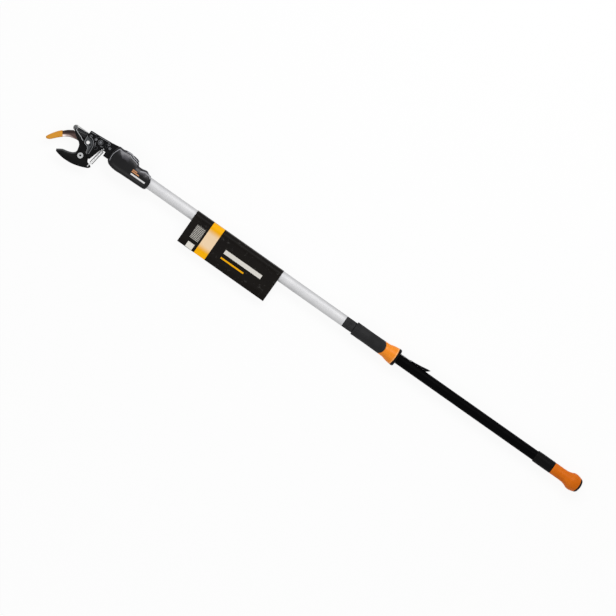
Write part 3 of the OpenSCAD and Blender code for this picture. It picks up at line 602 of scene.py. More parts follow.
class Effects:
    """Node groups of the shared effects. They give out only values."""

    MOTTLE_SCALE = 0.02
    MOTTLE_STEP = (0.3, 0.7)
    CLOUD_SCALE = 38.0
    CLOUD_STEP = (0.35, 0.7)
    THREADS = 5.0
    THREAD_HEIGHT = 0.15
    SCUFF_SCALE = 85.0
    SCUFF_STEP = (0.57, 0.74)

    @staticmethod
    def tree(effect: Effect) -> Tree:
        """The node group of an effect, made once.

        Args:
            effect: Which effect.

        Returns:
            Its node group.
        """
        found = bpy.data.node_groups.get(effect.value)
        if found:
            return found
        made = bpy.data.node_groups.new(effect.value, "ShaderNodeTree")
        makers = {Effect.GRAIN: Effects.grain, Effect.BRUSH: Effects.brush, Effect.WEAVE: Effects.weave,
                  Effect.WEAR: Effects.wear}
        makers[effect](made)
        return made

    @staticmethod
    def sockets(tree: Tree, numbers: Sequence[str], outputs: Sequence[str],
                vectors: Sequence[str] = ("Vector",)) -> tuple[Nodes, dict[str, Socket], Node]:
        """Declares a group's sockets.

        Args:
            tree: The node group.
            numbers: Names of its number inputs.
            outputs: Names of its outputs.
            vectors: Names of its vector inputs.

        Returns:
            The node adder, the inputs by name and the group's output node.
        """
        for name in vectors:
            tree.interface.new_socket(name=name, in_out="INPUT", socket_type="NodeSocketVector")
        for name in numbers:
            tree.interface.new_socket(name=name, in_out="INPUT", socket_type="NodeSocketFloat")
        for name in outputs:
            tree.interface.new_socket(name=name, in_out="OUTPUT", socket_type="NodeSocketFloat")
        nodes = Nodes(tree)
        given = nodes.add("NodeGroupInput")
        return nodes, {s.name: s for s in given.outputs if s.name}, nodes.add("NodeGroupOutput")

    @staticmethod
    def grain(tree: Tree) -> None:
        """Fine moulded grain and the slow mottle under it, from two noises of the same pattern.

        Args:
            tree: The node group.
        """
        nodes, given, out = Effects.sockets(tree, ["Scale"], ["Height", "Mottle"])
        fine = nodes.noise(given["Vector"], given["Scale"], 3.0)
        slow = nodes.noise(given["Vector"], nodes.times(given["Scale"], Effects.MOTTLE_SCALE), 4.0)
        nodes.join(out, Height=fine, Mottle=nodes.ramp(slow, *Effects.MOTTLE_STEP))

    @staticmethod
    def brush(tree: Tree) -> None:
        """Brushed lines: noise that is drawn out by the along vector, where a small number gives long lines.

        Args:
            tree: The node group.
        """
        nodes, given, out = Effects.sockets(tree, ["Scale"], ["Lines", "Cloud"], ["Vector", "Along"])
        drawn = nodes.add("ShaderNodeVectorMath", {"operation": "MULTIPLY"})
        nodes.feed(drawn.inputs[0], given["Vector"])
        nodes.feed(drawn.inputs[1], given["Along"])
        lines = nodes.noise(drawn.outputs[0], given["Scale"], 5.0, 0.7)
        cloud = nodes.noise(given["Vector"], Effects.CLOUD_SCALE, 3.0)
        nodes.join(out, Lines=lines, Cloud=nodes.ramp(cloud, *Effects.CLOUD_STEP))

    @staticmethod
    def weave(tree: Tree) -> None:
        """Plain weave: a sine along the strap times a sine across it, with the threads' own ribs.

        Args:
            tree: The node group.
        """
        nodes, given, out = Effects.sockets(tree, ["Pitch"], ["Height", "Thread"])
        split = nodes.add("ShaderNodeSeparateXYZ", Vector=given["Vector"])
        pace = nodes.math("DIVIDE", math.pi, given["Pitch"])
        along, across = nodes.times(split.outputs["X"], pace), nodes.times(split.outputs["Y"], pace)
        checks = nodes.times(nodes.math("SINE", along), nodes.math("SINE", across))
        raised = nodes.plus(nodes.times(checks, 0.5), 0.5)
        ribs = nodes.times(nodes.math("SINE", nodes.times(across, Effects.THREADS)), Effects.THREAD_HEIGHT)
        nodes.join(out, Height=nodes.plus(raised, ribs), Thread=raised)

    @staticmethod
    def wear(tree: Tree) -> None:
        """Scuffs from handling, where a rough noise passes a limit.

        Args:
            tree: The node group.
        """
        nodes, given, out = Effects.sockets(tree, ["Amount"], ["Scuff"])
        rough = nodes.noise(given["Vector"], Effects.SCUFF_SCALE, 8.0, 0.72)
        nodes.join(out, Scuff=nodes.times(nodes.ramp(rough, *Effects.SCUFF_STEP), given["Amount"]))


@dataclass(frozen=True)
class Finish(ABC):
    """A finish of one material slot: its name, the record's slot, its colour and its mean roughness."""

    name: str
    slot: str
    colour: str
    roughness: float

    def material(self) -> bpy.types.Material:
        """The finish as a material, made once.

        Returns:
            The material.
        """
        title = f"look_{self.name}"
        found = bpy.data.materials.get(title)
        if found:
            return found
        made = bpy.data.materials.new(title)
        made.use_nodes = True
        shader = made.node_tree.nodes["Principled BSDF"]
        shader.inputs["Roughness"].default_value = self.roughness
        self.shade(Nodes(made.node_tree), shader)
        made.diffuse_color = (*srgb(self.colour), 1.0)
        return made

    @staticmethod
    def place(nodes: Nodes) -> Socket:
        """The piece's own coordinates, in metres."""
        return nodes.add("ShaderNodeTexCoord").outputs["Object"]

    @staticmethod
    def marked(nodes: Nodes) -> Socket:
        """Strength of the piece's marks, from 0 to 1."""
        return nodes.add("ShaderNodeAttribute", {"attribute_name": "mark"}).outputs["Fac"]

    @staticmethod
    def emboss(nodes: Nodes, shader: Node, height: object, strength: float, depth: float) -> None:
        """Raises the surface by a height from 0 to 1, with a bump's strength and its depth in millimetres."""
        bump = nodes.add("ShaderNodeBump", Strength=strength, Distance=depth * MM, Height=height)
        nodes.join(shader, Normal=bump.outputs["Normal"])

    @abstractmethod
    def shade(self, nodes: Nodes, shader: Node) -> None:
        """Joins the finish's nodes to the shader."""


@dataclass(frozen=True)
class Moulded(Finish):
    """Moulded plastic or rubber with grain, mottle and scuffs; where the piece is marked, a highlight is
    painted into its colour.
    """

    tint: str = "000000"
    worn_and_highlight: str = "808080"
    grain: float = 2600.0
    bump: float = 0.15
    depth: float = 0.2
    scuff: float = 0.25
    scuff_rough: float = 0.3
    mottle: float = 0.5
    mottle_rough: float = 0.12
    specular: float = 0.5
    mark: float = 0.0
    gloss: float = 0.0

    def shade(self, nodes: Nodes, shader: Node) -> None:
        """Mottles the colour, lightens and roughens scuffs, paints a highlight into marked places and glosses
        them, and embosses the grain.

        Args:
            nodes: Adder of the material's nodes.
            shader: The material's shader.
        """
        place = self.place(nodes)
        marked = self.marked(nodes)
        grain = nodes.effect(Effect.GRAIN, Vector=place, Scale=self.grain)
        wear = nodes.effect(Effect.WEAR, Vector=place, Amount=self.scuff)
        mottle, scuff = grain.outputs["Mottle"], wear.outputs["Scuff"]
        base = nodes.mix(nodes.times(mottle, self.mottle), srgb(self.colour), srgb(self.tint))
        # Marked places take the pale colour as a painted highlight, scuffs as real wear.
        bright = nodes.most(scuff, nodes.times(marked, self.mark))
        rough = nodes.plus(nodes.times(mottle, self.mottle_rough), nodes.times(scuff, self.scuff_rough))
        nodes.join(shader, Base_Color=nodes.mix(bright, base, srgb(self.worn_and_highlight)),
                   Roughness=nodes.plus(self.roughness, rough), Specular_IOR_Level=self.specular)
        if self.gloss:
            nodes.join(shader, Coat_Roughness=self.roughness, Coat_Weight=nodes.times(marked, self.gloss))
        self.emboss(nodes, shader, grain.outputs["Height"], self.bump, self.depth)


@dataclass(frozen=True)
class ShadeRun:
    """A run of painted shade on a metal, which grows along a heading in X and Y from one place to another."""

    heading: tuple[float, float]
    low: float
    high: float
    strength: float = 1.0

    def share(self, nodes: Nodes, place: Socket) -> Socket:
        """Share of the painted shade's colour: a smooth step of the place's distance along the heading.

        Args:
            nodes: Adder of the material's nodes.
            place: The piece's own coordinates.

        Returns:
            The share.
        """
        along = nodes.add("ShaderNodeVectorMath", {"operation": "DOT_PRODUCT"})
        nodes.feed(along.inputs[0], place)
        nodes.feed(along.inputs[1], (*self.heading, 0.0))
        return nodes.times(nodes.ramp(along.outputs["Value"], self.low, self.high), self.strength)


@dataclass(frozen=True)
class Metal(Finish):
    """Bare, coated or anodised metal with brushed lines and clouds; marked places take the ground colour,
    which paints highlights on edges and, on the spring, shade.
    """

    tint: str = "606060"
    ground: str = "C8CACC"
    dark: str = "101011"
    along: Brushing = Brushing.ALONG
    lines: float = 900.0
    lines_rough: float = 0.3
    bump: float = 0.08
    depth: float = 0.1
    cloud: float = 0.6
    scuff: float = 0.2
    scuff_bright: float = 0.5
    metallic: float = 1.0
    specular: float = 0.5
    mark: float = 0.0
    painted_shade: tuple[ShadeRun, ...] = ()

    def shade(self, nodes: Nodes, shader: Node) -> None:
        """Clouds the colour and paints shade runs into it, turns marked places and scuffs to the ground
        colour, and embosses the brushed lines.

        Args:
            nodes: Adder of the material's nodes.
            shader: The material's shader.
        """
        place = self.place(nodes)
        brush = nodes.effect(Effect.BRUSH, Vector=place, Along=self.along.value, Scale=self.lines)
        wear = nodes.effect(Effect.WEAR, Vector=place, Amount=self.scuff)
        lines = brush.outputs["Lines"]
        base = nodes.mix(nodes.times(brush.outputs["Cloud"], self.cloud), srgb(self.colour), srgb(self.tint))
        for shade_run in self.painted_shade:
            base = nodes.mix(shade_run.share(nodes, place), base, srgb(self.dark))
        # The marks give the ground colour: bright ground edges and painted highlights, and on the spring
        # painted shade.
        edge = nodes.times(self.marked(nodes), self.mark)
        bright = nodes.most(edge, nodes.times(wear.outputs["Scuff"], self.scuff_bright))
        spread = nodes.times(nodes.math("SUBTRACT", lines, 0.5), self.lines_rough)
        nodes.join(shader, Base_Color=nodes.mix(bright, base, srgb(self.ground)), Metallic=self.metallic,
                   Specular_IOR_Level=self.specular, Roughness=nodes.plus(self.roughness, spread))
        self.emboss(nodes, shader, lines, self.bump, self.depth)


@dataclass(frozen=True)
class Webbed(Finish):
    """Woven strap, with the weave laid along the piece's own coordinates."""

    hollow: str = "707070"
    pitch: float = 0.9
    sheen: float = 0.3
    bump: float = 0.5
    depth: float = 0.3

    def shade(self, nodes: Nodes, shader: Node) -> None:
        """Darkens the weave's hollows as painted shade and embosses its threads.

        Args:
            nodes: Adder of the material's nodes.
            shader: The material's shader.
        """
        layout = nodes.add("ShaderNodeTexCoord").outputs["UV"]
        weave = nodes.effect(Effect.WEAVE, Vector=layout, Pitch=self.pitch * MM)
        colour = nodes.mix(weave.outputs["Thread"], srgb(self.hollow), srgb(self.colour))
        nodes.join(shader, Base_Color=colour, Sheen_Weight=self.sheen)
        self.emboss(nodes, shader, weave.outputs["Height"], self.bump, self.depth)


@dataclass(frozen=True)
class Printed(Finish):
    """Printed card: a dark ground with a bright band, plain bars, ruled lines, a pale patch and a painted
    sheen where it bends over the tube.

    A block of print is its left, right, low and high limit, in millimetres from the card's end and the axis.
    """

    start: float = 0.0
    level: float = 0.0
    tint: str = "17130F"
    band_colour: str = "FFB606"
    band_pale: str = "FFE0B8"
    pale: str = "E8E4DC"
    rubbed_and_sheen: str = "94918E"
    band: tuple = (50, 82)
    faded: tuple = (-54, -10)
    fading: float = 9.0
    ruled_block: tuple = (19, 44, -50, -14)
    rule_pitch: float = 3.6
    rule_share: float = 0.75
    rule_limit: float = 0.1
    pale_block: tuple = (23, 42, -75, -60)
    pale_bar: tuple = (112, 222, -36, -25)
    bright_bar: tuple = (112, 180, -50, -46)
    fold_sheen: tuple = (13.6, 16)
    fold_sheen_blur: float = 0.7
    fold_sheen_share: float = 0.35
    blur: float = 0.2
    fibre: float = 1400.0
    mottle: float = 0.4
    scuff: float = 0.25
    specular: float = 0.06
    bump: float = 0.12
    depth: float = 0.1

    @staticmethod
    def strip(nodes: Nodes, place: object, limits: Sequence[float], blur: float) -> Socket:
        """1 between two limits in millimetres and 0 outside them, with a soft edge."""
        return nodes.band(place, limits[0] * MM, limits[1] * MM, blur * MM)

    def shade(self, nodes: Nodes, shader: Node) -> None:
        """Lays the print out by the place along the pole and across it, over the card's own fibre.

        Args:
            nodes: Adder of the material's nodes.
            shader: The material's shader.
        """
        place = self.place(nodes)
        split = nodes.add("ShaderNodeSeparateXYZ", Vector=place)
        along = nodes.math("SUBTRACT", split.outputs["X"], self.start)
        across = split.outputs["Y"]
        facing = nodes.math("GREATER_THAN", split.outputs["Z"], self.level)

        def block(limits: Sequence[float]) -> Socket:
            """A block of print on the front: the product of a strip along the card and one across it."""
            sides = self.strip(nodes, along, limits[:2], self.blur)
            return nodes.times(nodes.times(sides, self.strip(nodes, across, limits[2:], self.blur)), facing)

        grain = nodes.effect(Effect.GRAIN, Vector=place, Scale=self.fibre)
        wear = nodes.effect(Effect.WEAR, Vector=place, Amount=self.scuff)
        scuff = wear.outputs["Scuff"]
        mottle = nodes.times(grain.outputs["Mottle"], self.mottle)
        ground = nodes.mix(mottle, srgb(self.colour), srgb(self.tint))
        faded = self.strip(nodes, across, self.faded, self.fading)
        band = nodes.mix(faded, srgb(self.band_colour), srgb(self.band_pale))
        printed = nodes.mix(self.strip(nodes, along, self.band, self.blur), ground, band)
        wave = nodes.math("SINE", nodes.times(across, 2 * math.pi / (self.rule_pitch * MM)))
        lines = nodes.times(block(self.ruled_block), nodes.math("GREATER_THAN", wave, self.rule_limit))
        pale = nodes.most(block(self.pale_block), nodes.times(lines, self.rule_share))
        printed = nodes.mix(nodes.most(pale, block(self.pale_bar)), printed, srgb(self.pale))
        printed = nodes.mix(block(self.bright_bar), printed, srgb(self.band_colour))
        # Painted sheen: a paler band where the card bends over the tube's top, in the same colour as the
        # scuffs.
        fold_sheen = nodes.times(self.strip(nodes, across, self.fold_sheen, self.fold_sheen_blur), self.fold_sheen_share)
        nodes.join(shader, Base_Color=nodes.mix(nodes.most(scuff, fold_sheen), printed, srgb(self.rubbed_and_sheen)),
                   Roughness=nodes.plus(self.roughness, scuff), Specular_IOR_Level=self.specular)
        self.emboss(nodes, shader, grain.outputs["Height"], self.bump, self.depth)


HOOK_ACROSS = (-0.6, 1.0)
HOOK_RUN = float(HEAD_CORNER @ HOOK_ACROSS)
# Painted shade on the hook: darker towards its tang, where the covers shade it, and towards its upper edge.
HOOK_PAINTED_SHADE = (ShadeRun((1.0, 0.0), HEAD_CORNER[0] - 33 * MM, HEAD_CORNER[0] - 24 * MM),
              ShadeRun(HOOK_ACROSS, HOOK_RUN + 56 * MM, HOOK_RUN + 62 * MM, 0.7))
# Its marks take the bright ground colour on the ground inner edge, as a painted highlight that is strongest
# near the cap.
HOOK_STEEL = Metal("hook_steel", "hook_steel", "604A47", 0.36, tint="463C39", ground="E9DDD8",
                   along=Brushing.EVEN, lines=420.0, mark=0.9, painted_shade=HOOK_PAINTED_SHADE)
# Its marks paint a pale highlight along the blade's arm edge, in a colour that is not metal.
BLADE_COATING = Metal("blade_coating", "blade_coating", "0E0E0F", 0.42, tint="080809", ground="D0D3D6",
                      along=Brushing.EVEN, lines=500.0, scuff=0.12, metallic=0.0, specular=0.06, mark=0.95)
BRIGHT_STEEL = Metal("bright_steel", "bright_steel", "B2B3B4", 0.4, tint="9A9C9E", along=Brushing.UPRIGHT,
                     lines=1500.0, metallic=0.7)
RIVET_STEEL = Metal("rivet_steel", "bright_steel", "E4E4E3", 0.4, tint="D0D0CF", along=Brushing.UPRIGHT,
                    lines=1500.0, metallic=0.5)
# Its marks paint a highlight along the side plate's upper edges.
PLATE_STEEL = Metal("plate_steel", "hook_steel", "47494B", 0.42, tint="36383A", ground="C6C8CA", lines=1100.0,
                    mark=0.6)
REAR_PLATE = Metal("rear_plate", "hook_steel", "333436", 0.45, tint="252628", lines=1100.0)
BUSH_BRASS = Metal("bush_brass", "bush_brass", "B98E3F", 0.35, tint="8C6A2C")
# Its dark ground colour is the painted shade on the coil's flanks.
SPRING_STEEL = Metal("spring_steel", "spring_steel", "EEEEEE", 0.4, tint="D8D9DA", ground="1C1D1F",
                     lines=1500.0, metallic=0.6, mark=0.95)
DARK_SCREW = Metal("dark_screw", "dark_screw", "66676A", 0.4, tint="4A4B4D", along=Brushing.UPRIGHT,
                   lines=1500.0)
SOCKET_BLACK = Metal("socket_black", "dark_screw", "161617", 0.5, tint="0E0E0F", lines=1500.0)
TUBE_ALUMINIUM = Metal("tube_aluminium", "tube_aluminium", "C6C6C7", 0.7, tint="BEBEC0", lines=1300.0,
                       bump=0.05, scuff=0.1)
ORANGE_CAP = Moulded("orange_cap", "orange_plastic", "E09A2C", 0.38, tint="D68E20", worn_and_highlight="F0C37E", scuff=0.2,
                     specular=0.3)
# Its marks paint a pale highlight near the ring's rim.
ORANGE_RING = Moulded("orange_ring", "orange_plastic", "FA9018", 0.36, tint="F48A14", worn_and_highlight="FFC98A",
                      scuff=0.12, specular=0.25, mark=0.7)
ORANGE_KNOB = Moulded("orange_knob", "orange_plastic", "DE6E00", 0.42, tint="D06400", worn_and_highlight="E8A050",
                      scuff=0.15, specular=0.15)
ORANGE_INLAY = Moulded("orange_inlay", "orange_plastic", "CE9060", 0.4, tint="B87A48", worn_and_highlight="F0C37E")
WHITE_INLAY = Moulded("white_inlay", "white_inlay", "E6E6E6", 0.45, tint="D8D8D8", worn_and_highlight="9A9A9A")
ROLLER_GREY = Moulded("roller_grey", "roller_grey", "8C8C8A", 0.45, tint="7A7A78", worn_and_highlight="5A5A58")
HEAD_PLASTIC = Moulded("head_plastic", "head_plastic", "0A0A0B", 0.42, tint="070708", worn_and_highlight="4A4B4D",
                       scuff=0.12, specular=0.06)
NECK_PLASTIC = Moulded("neck_plastic", "head_plastic", "0A0A0C", 0.3, tint="070709", worn_and_highlight="55545A",
                       bump=0.06, scuff=0.08, specular=0.08)
# A light grey that paints the highlights of the cover's rings, ribs and rim.
HEAD_HIGHLIGHT_TRIM = Moulded("head_highlight_trim", "head_plastic", "707174", 0.36, tint="5A5B5E", worn_and_highlight="8C8D90", specular=0.4)
# Its marks paint a highlight into the colour of the upper shoulders and gloss their coat.
CASING_PLASTIC = Moulded("casing_plastic", "casing_plastic", "0A0A0C", 0.24, tint="070709", worn_and_highlight="77747E",
                         bump=0.06, scuff=0.05, specular=0.19, mark=0.35, gloss=0.9)
# A light grey that paints the highlights of the casing's rim and shoulders on its beads.
CASING_HIGHLIGHT_BEAD = Moulded("casing_highlight_bead", "casing_plastic", "A4A5AA", 0.3, tint="8E8F94", worn_and_highlight="BCBDC2")
BUTTON_PLASTIC = Moulded("button_plastic", "casing_plastic", "4C4D51", 0.4, tint="3E3F43", worn_and_highlight="77787C",
                         specular=0.3)
BLACK_PLASTIC = Moulded("black_plastic", "black_plastic", "070708", 0.42, tint="050506", worn_and_highlight="3C3D40",
                        scuff=0.1, specular=0.06)
COLLAR_PLASTIC = Moulded("collar_plastic", "black_plastic", "1D1D1E", 0.5, tint="131314", worn_and_highlight="5C5D60",
                         scuff=0.15, specular=0.2)
GRIP_RUBBER = Moulded("grip_rubber", "grip_rubber", "1D1D1E", 0.62, tint="131314", worn_and_highlight="5A5A5A",
                      grain=1700.0, bump=0.35, scuff=0.15, specular=0.2)
TUBE_BLACK = Moulded("tube_black", "tube_black", "040405", 0.4, tint="030304", worn_and_highlight="222224", grain=3200.0,
                     bump=0.06, scuff=0.08, specular=0.02)
STRAP_WEB = Webbed("strap_web", "strap_web", "686866", 0.8, hollow="383837")
CARD_PRINT = Printed("printed_card", "printed_card", "0F0C0A", 0.4, start=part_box("card_sleeve")[0].x,
                     level=AXIS_HEIGHT)


def level(height: float) -> float:
    """Height above the floor of a level in millimetres from the pole's axis."""
    return AXIS_HEIGHT + height * MM


def at_head(points: object) -> Points:
    """Places in metres of points in millimetres from the head's corner."""
    return HEAD_CORNER + np.asarray(points, float) * MM


def upright(profile: Sequence[Sequence[float]]) -> Points:
    """Profile in metres of levels and radii in millimetres, for a piece turned about an upright line."""
    return np.array(profile, float) * MM + [AXIS_HEIGHT, 0]


def girth(node: str) -> float:
    """Radius of a round solid on the pole, which is half its box's width."""
    low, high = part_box(node)
    return (high.y - low.y) / 2


def ring(*runs: Points) -> Points:
    """A closed outline out of runs of points, counter-clockwise and with no point twice.

    Args:
        runs: The runs in order round the outline.

    Returns:
        The outline's points.
    """
    points = np.vstack([np.asarray(run, float) for run in runs])
    far = np.linalg.norm(points - np.roll(points, 1, 0), axis=1) > MERGE_GAP
    points = points[far]
    after = np.roll(points, -1, 0)
    area = np.sum(points[:, 0] * after[:, 1] - points[:, 1] * after[:, 0])
    return points if area > 0 else points[::-1]


def beside(outline: Points, line: Points) -> Points:
    """Whether each outline point in millimetres lies beside one of a line's points."""
    return np.min(np.linalg.norm(outline[:, None] - line[None], axis=2), axis=1) < TOUCH


def slab(outline: Points, levels: Sequence[float], edge: float, **more: object) -> Shell:
    """A plate whose levels from the pole's axis and whose edge are in millimetres."""
    return Shell.plate(outline, level(levels[0]), level(levels[1]), edge * MM, **more)


class SubAssembly(ABC, Generic[Sizes]):
    """Pieces that are built and dressed together."""

    def __init__(self, sizes: Sizes) -> None:
        """Keeps the sub-assembly's sizes."""
        self.sizes = sizes

    def build(self) -> None:
        """Makes the finer pieces and gives the carried solids their finishes."""
        LOG.info("building %s", type(self).__name__)
        self.pieces()
        self.dress()

    @abstractmethod
    def pieces(self) -> None:
        """Makes the finer pieces."""

    @abstractmethod
    def dress(self) -> None:
        """Gives the solids that are carried over their finishes."""

    def add(self, shell: Shell, name: str, body: str, finish: Finish, *stands_for: str) -> Piece:
        """Puts a piece on a body.

        Args:
            shell: The piece's shell.
            name: The piece's name.
            body: Body that it moves with.
            finish: Its finish.
            stands_for: Solids that it is shown in place of.

        Returns:
            The piece.
        """
        piece = shell.piece(name)
        self.settle(piece, finish, stands_for)
        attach(piece, body)
        return piece

    def settle(self, piece: Piece, finish: Finish, stands_for: Sequence[str]) -> None:
        """Gives a piece its finish, hides the solids that it stands for and logs it.

        Args:
            piece: The piece.
            finish: Its finish.
            stands_for: Solids that it is shown in place of.
        """
        self.paint(piece, finish)
        if stands_for:
            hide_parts(*stands_for)
        LOG.info("piece %s: %d faces, finish %s", piece.name, len(piece.data.polygons), finish.name)

    @staticmethod
    def paint(piece: Piece, finish: Finish) -> None:
        """Makes a finish the piece's only material."""
        piece.data.materials.clear()
        piece.data.materials.append(finish.material())

    def recast(self, finish: Finish, edge: float, *nodes: str) -> None:
        """Shows solids with softened edges, as copies merged by distance, cleaned of flat edges and bevelled.

        Args:
            finish: Their finish.
            edge: Width of the bevel in millimetres.
            nodes: The solids.
        """
        for node in nodes:
            source = frame["nodes"][node]
            work = bmesh.new()
            work.from_mesh(source.data)
            bmesh.ops.remove_doubles(work, verts=work.verts, dist=MERGE_GAP)
            bmesh.ops.dissolve_limit(work, angle_limit=FLAT_ANGLE, verts=work.verts, edges=work.edges)
            bmesh.ops.recalc_face_normals(work, faces=work.faces)
            mesh = bpy.data.meshes.new(f"{node}_cast")
            work.to_mesh(mesh)
            work.free()
            smooth(mesh)
            piece = put_in_scene(f"{node}_cast", mesh)
            bevel = piece.modifiers.new("edges", "BEVEL")
            bevel.width = edge * MM
            bevel.segments = 2
            bevel.limit_method = "ANGLE"
            bevel.angle_limit = math.radians(SHARP_ANGLE)
            bevel.harden_normals = True
            self.settle(piece, finish, (node,))
            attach(piece, source["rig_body"])

    def webbing(self, node: str, name: str) -> None:
        """Shows a strap's solid as a woven ribbon, on a line that falls from the top of its box to its foot.

        Args:
            node: The strap's solid.
            name: The ribbon's name.
        """
        low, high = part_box(node)
        half = STRAP_THICK * MM / 2
        path = np.linspace((low.x, high.y - half), (high.x, low.y + half), 60)
        shell = Shell.ribbon(path, STRAP_THICK * MM, low.z, high.z)
        self.add(shell, name, frame["nodes"][node]["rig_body"], STRAP_WEB, node)

    def carry(self, finish: Finish, *nodes: str) -> None:
        """Gives solids that are shown as they are their finish."""
        for node in nodes:
            self.paint(frame["nodes"][node], finish)

    @staticmethod
    def carve(piece: Piece, *tools: Shell) -> None:
        """Cuts shells out of a piece and keeps the result as its mesh.

        Args:
            piece: The piece.
            tools: What is cut away.
        """
        for tool in tools:
            cutter = tool.piece(f"{piece.name}_cutter")
            cut = piece.modifiers.new("cut", "BOOLEAN")
            cut.operation = "DIFFERENCE"
            cut.solver = "EXACT"
            cut.object = cutter
            settled = piece.evaluated_get(bpy.context.evaluated_depsgraph_get())
            mesh = bpy.data.meshes.new_from_object(settled)
            piece.modifiers.clear()
            piece.data = mesh
            bpy.data.objects.remove(cutter)
        smooth(piece.data)


@dataclass(frozen=True)
class HeadSizes:
    """Sizes of the cutting head, in millimetres from the head's corner and from the pole's axis."""

    hook_top: tuple = ((-86.5, -8.5), (-79.5, 8), (-69.5, 22.5), (-60, 32.4), (-53.5, 37), (-46.5, 41.5))
    hook_back: tuple = ((-46.5, 41.5), (-33.5, 39.5), (-11.5, 43.5), (1.5, 44.5), (9, 41.5))
    hook_tang: tuple = ((12.5, 40.5), (32.5, 40.5), (32.5, 32), (25.5, 29), (20, 12))
    hook_throat: tuple = ((-10.5, 8), (-12.5, 16), (-16.5, 21.5), (-24.5, 26), (-38.5, 23.6), (-48.5, 20),
                          (-59.5, 12.9), (-71, 3.6), (-82, -5.5))
    hook_eye_r: float = 10.5
    hook_eye_arc: tuple = (20, -180)
    hook_bore_r: float = 4.1
    hook_screw_r: float = 1.75
    hook_levels: tuple = (-3.8, -0.2)
    hook_grind: tuple = (6.0, 2.0)
    hook_inner: float = -9.0
    hook_middle: tuple = (-60, 23, 0.36)
    hook_keen: tuple = (-26, -48)
    hook_highlight: tuple = (-48, -60)
    hook_least: tuple = (0.1, 0.25)
    hook_glint: float = 0.1
    edge: float = 0.5
    cap_upper: tuple = ((-69.5, 25), (-75.5, 19.2), (-83.5, 9), (-91.5, -3.8), (-94, -9))
    cap_tip: tuple = (-90.5, -10.6)
    cap_tip_r: float = 3.6
    cap_tip_arc: tuple = (160, 290)
    cap_lower: tuple = ((-88.5, -13.9), (-83.5, -11.6), (-79.5, -8), (-71.5, 0.8), (-63.5, 8.6), (-60, 11.4))
    cap_levels: tuple = (-7, 3)
    cap_edge: float = 3.2
    jaw_edge: tuple = ((-56, -21), (-43.5, -13), (-33.5, -10.5), (-23.5, -7.5), (-15.5, -3.3), (-11.5, 3),
                       (-12.5, 11), (-15.5, 19.5), (-23.5, 27), (-31.5, 31), (-40.5, 38))
    jaw_keen: tuple = (6, -2)
    arm_edge: tuple = ((-41.5, 46), (-31.5, 42), (-23.5, 39), (-15.5, 35), (-2.5, 30), (8.5, 21), (18.5, 13),
                       (21.5, 8))
    arm_tip_r: float = 3.6
    arm_tip_arc: tuple = (215, 10)
    arm_lit: int = 20
    arm_ground: float = 0.3
    blade_heel: tuple = ((21.5, 8), (23.5, 1), (26.5, -3.6), (30.5, -5.3), (37.5, -7.3))
    blade_belly: tuple = ((39.5, -10.5), (36.5, -14.6), (32.5, -17.2), (20.5, -22.4), (8.5, -26.4),
                          (-3.5, -29.3), (-15.5, -30.5), (-28.5, -30.7), (-43.5, -28.8), (-53.5, -26.3))
    blade_levels: tuple = (0.2, 4.2)
    blade_grind: tuple = (4.5, 3.4)
    blade_glint: float = 0.15
    blade_bore_r: float = 5.55
    roller_pin_r: float = 2.0
    tail_hole: tuple = (32, -11.5)
    tail_hole_r: float = 1.5
    plate_outer: tuple = ((-10.5, 47.8), (-10, 40), (-9.5, 35), (-7, 29.5), (-1, 28), (5, 25), (8, 18),
                          (9.5, 12))
    plate_inner: tuple = ((15.8, 12), (14.5, 21), (28, 33), (31.5, 38), (33.5, 43), (36, 43), (36, 61),
                          (-10.5, 61))
    plate_levels: tuple = (7, 8.6)
    plate_edge: float = 1.4
    plate_foot: float = 0.1
    plug: tuple = (7.2, 34.2)
    plug_r: float = 2.3
    plug_levels: tuple = (8.4, 8.75)
    plug_edge: float = 0.3
    roller: tuple = (-46, 49.5)
    roller_profile: tuple = ((-6.6, 2.1), (-6.6, 5.1), (-6.3, 5.5), (-5.6, 5.5), (-5.2, 5.1), (-1.7, 5.1),
                             (-1.3, 5.5), (-0.6, 5.5), (-0.3, 5.1), (-0.3, 2.1))
    strap_r: float = 6.4
    strap_levels: tuple = (-6.4, -0.4)
    strap_anchor: tuple = (-4, 56.2)
    strap_drum: tuple = (25.5, 57.9)
    strap_still: tuple = (-6, 54)
    strap_moved: tuple = (-26, 51)
    spring_top: tuple = (40.6, 40)
    spring_bottom: tuple = (34.4, -2.6)
    spring_level: float = 2.2
    spring_post: tuple = (41.2, 45)
    post_loop_r: float = 2.5
    post_loop_arc: tuple = (248, -30)
    post_lead: float = 0.2
    tail_loop_r: float = 3.0
    tail_loop_arc: tuple = (180, -110)
    coil_r: float = 4.0
    coil_end: float = 0.2
    coil_sharp: float = 60.0
    wire_r: float = 0.75
    curls: int = 28
    curl_steps: int = 22
    flank_shade: tuple = (0.62, 0.87)
    screws: tuple = ((10.5, 62.5), (23.5, 36), (42.5, 55.5))
    screw_ring: tuple = (3.4, 4.2)
    studs: tuple = ((12.1, 53.7), (52.8, 54.6), (-2.8, 53.6), (45.8, 62))
    stud_ring: tuple = (1.9, 3.4)
    stud_dome: tuple = ((12.6, 1.8), (13.2, 1.8), (13.6, 1.4), (13.8, 0.7), (13.8, 0.01))
    drum: tuple = (25.5, 54)
    drum_ring: tuple = (5.4, 6.6)
    ring_levels: tuple = (12.6, 13.3, 13.55)
    ring_bevel: float = 0.15
    ribs: tuple = (((-7.5, 62), (5, 62.8)), ((16.5, 64), (44, 66.4)), ((15.5, 46), (19, 39)),
                   ((31, 46), (36.5, 48)))
    rib_half: float = 0.8
    rib_levels: tuple = (12.6, 13.4)
    rib_edge: float = 0.4
    cover_rim: tuple = ((-4, 50.6), (1, 50.2), (8, 47.2), (13, 41), (15.8, 33), (16.6, 22), (17.2, 14))
    cover_rim_level: float = 12.7
    cover_rim_r: float = 1.0
    socket_r: float = 2.85
    socket_levels: tuple = (5.5, 5.7)
    fine_edge: float = 0.05


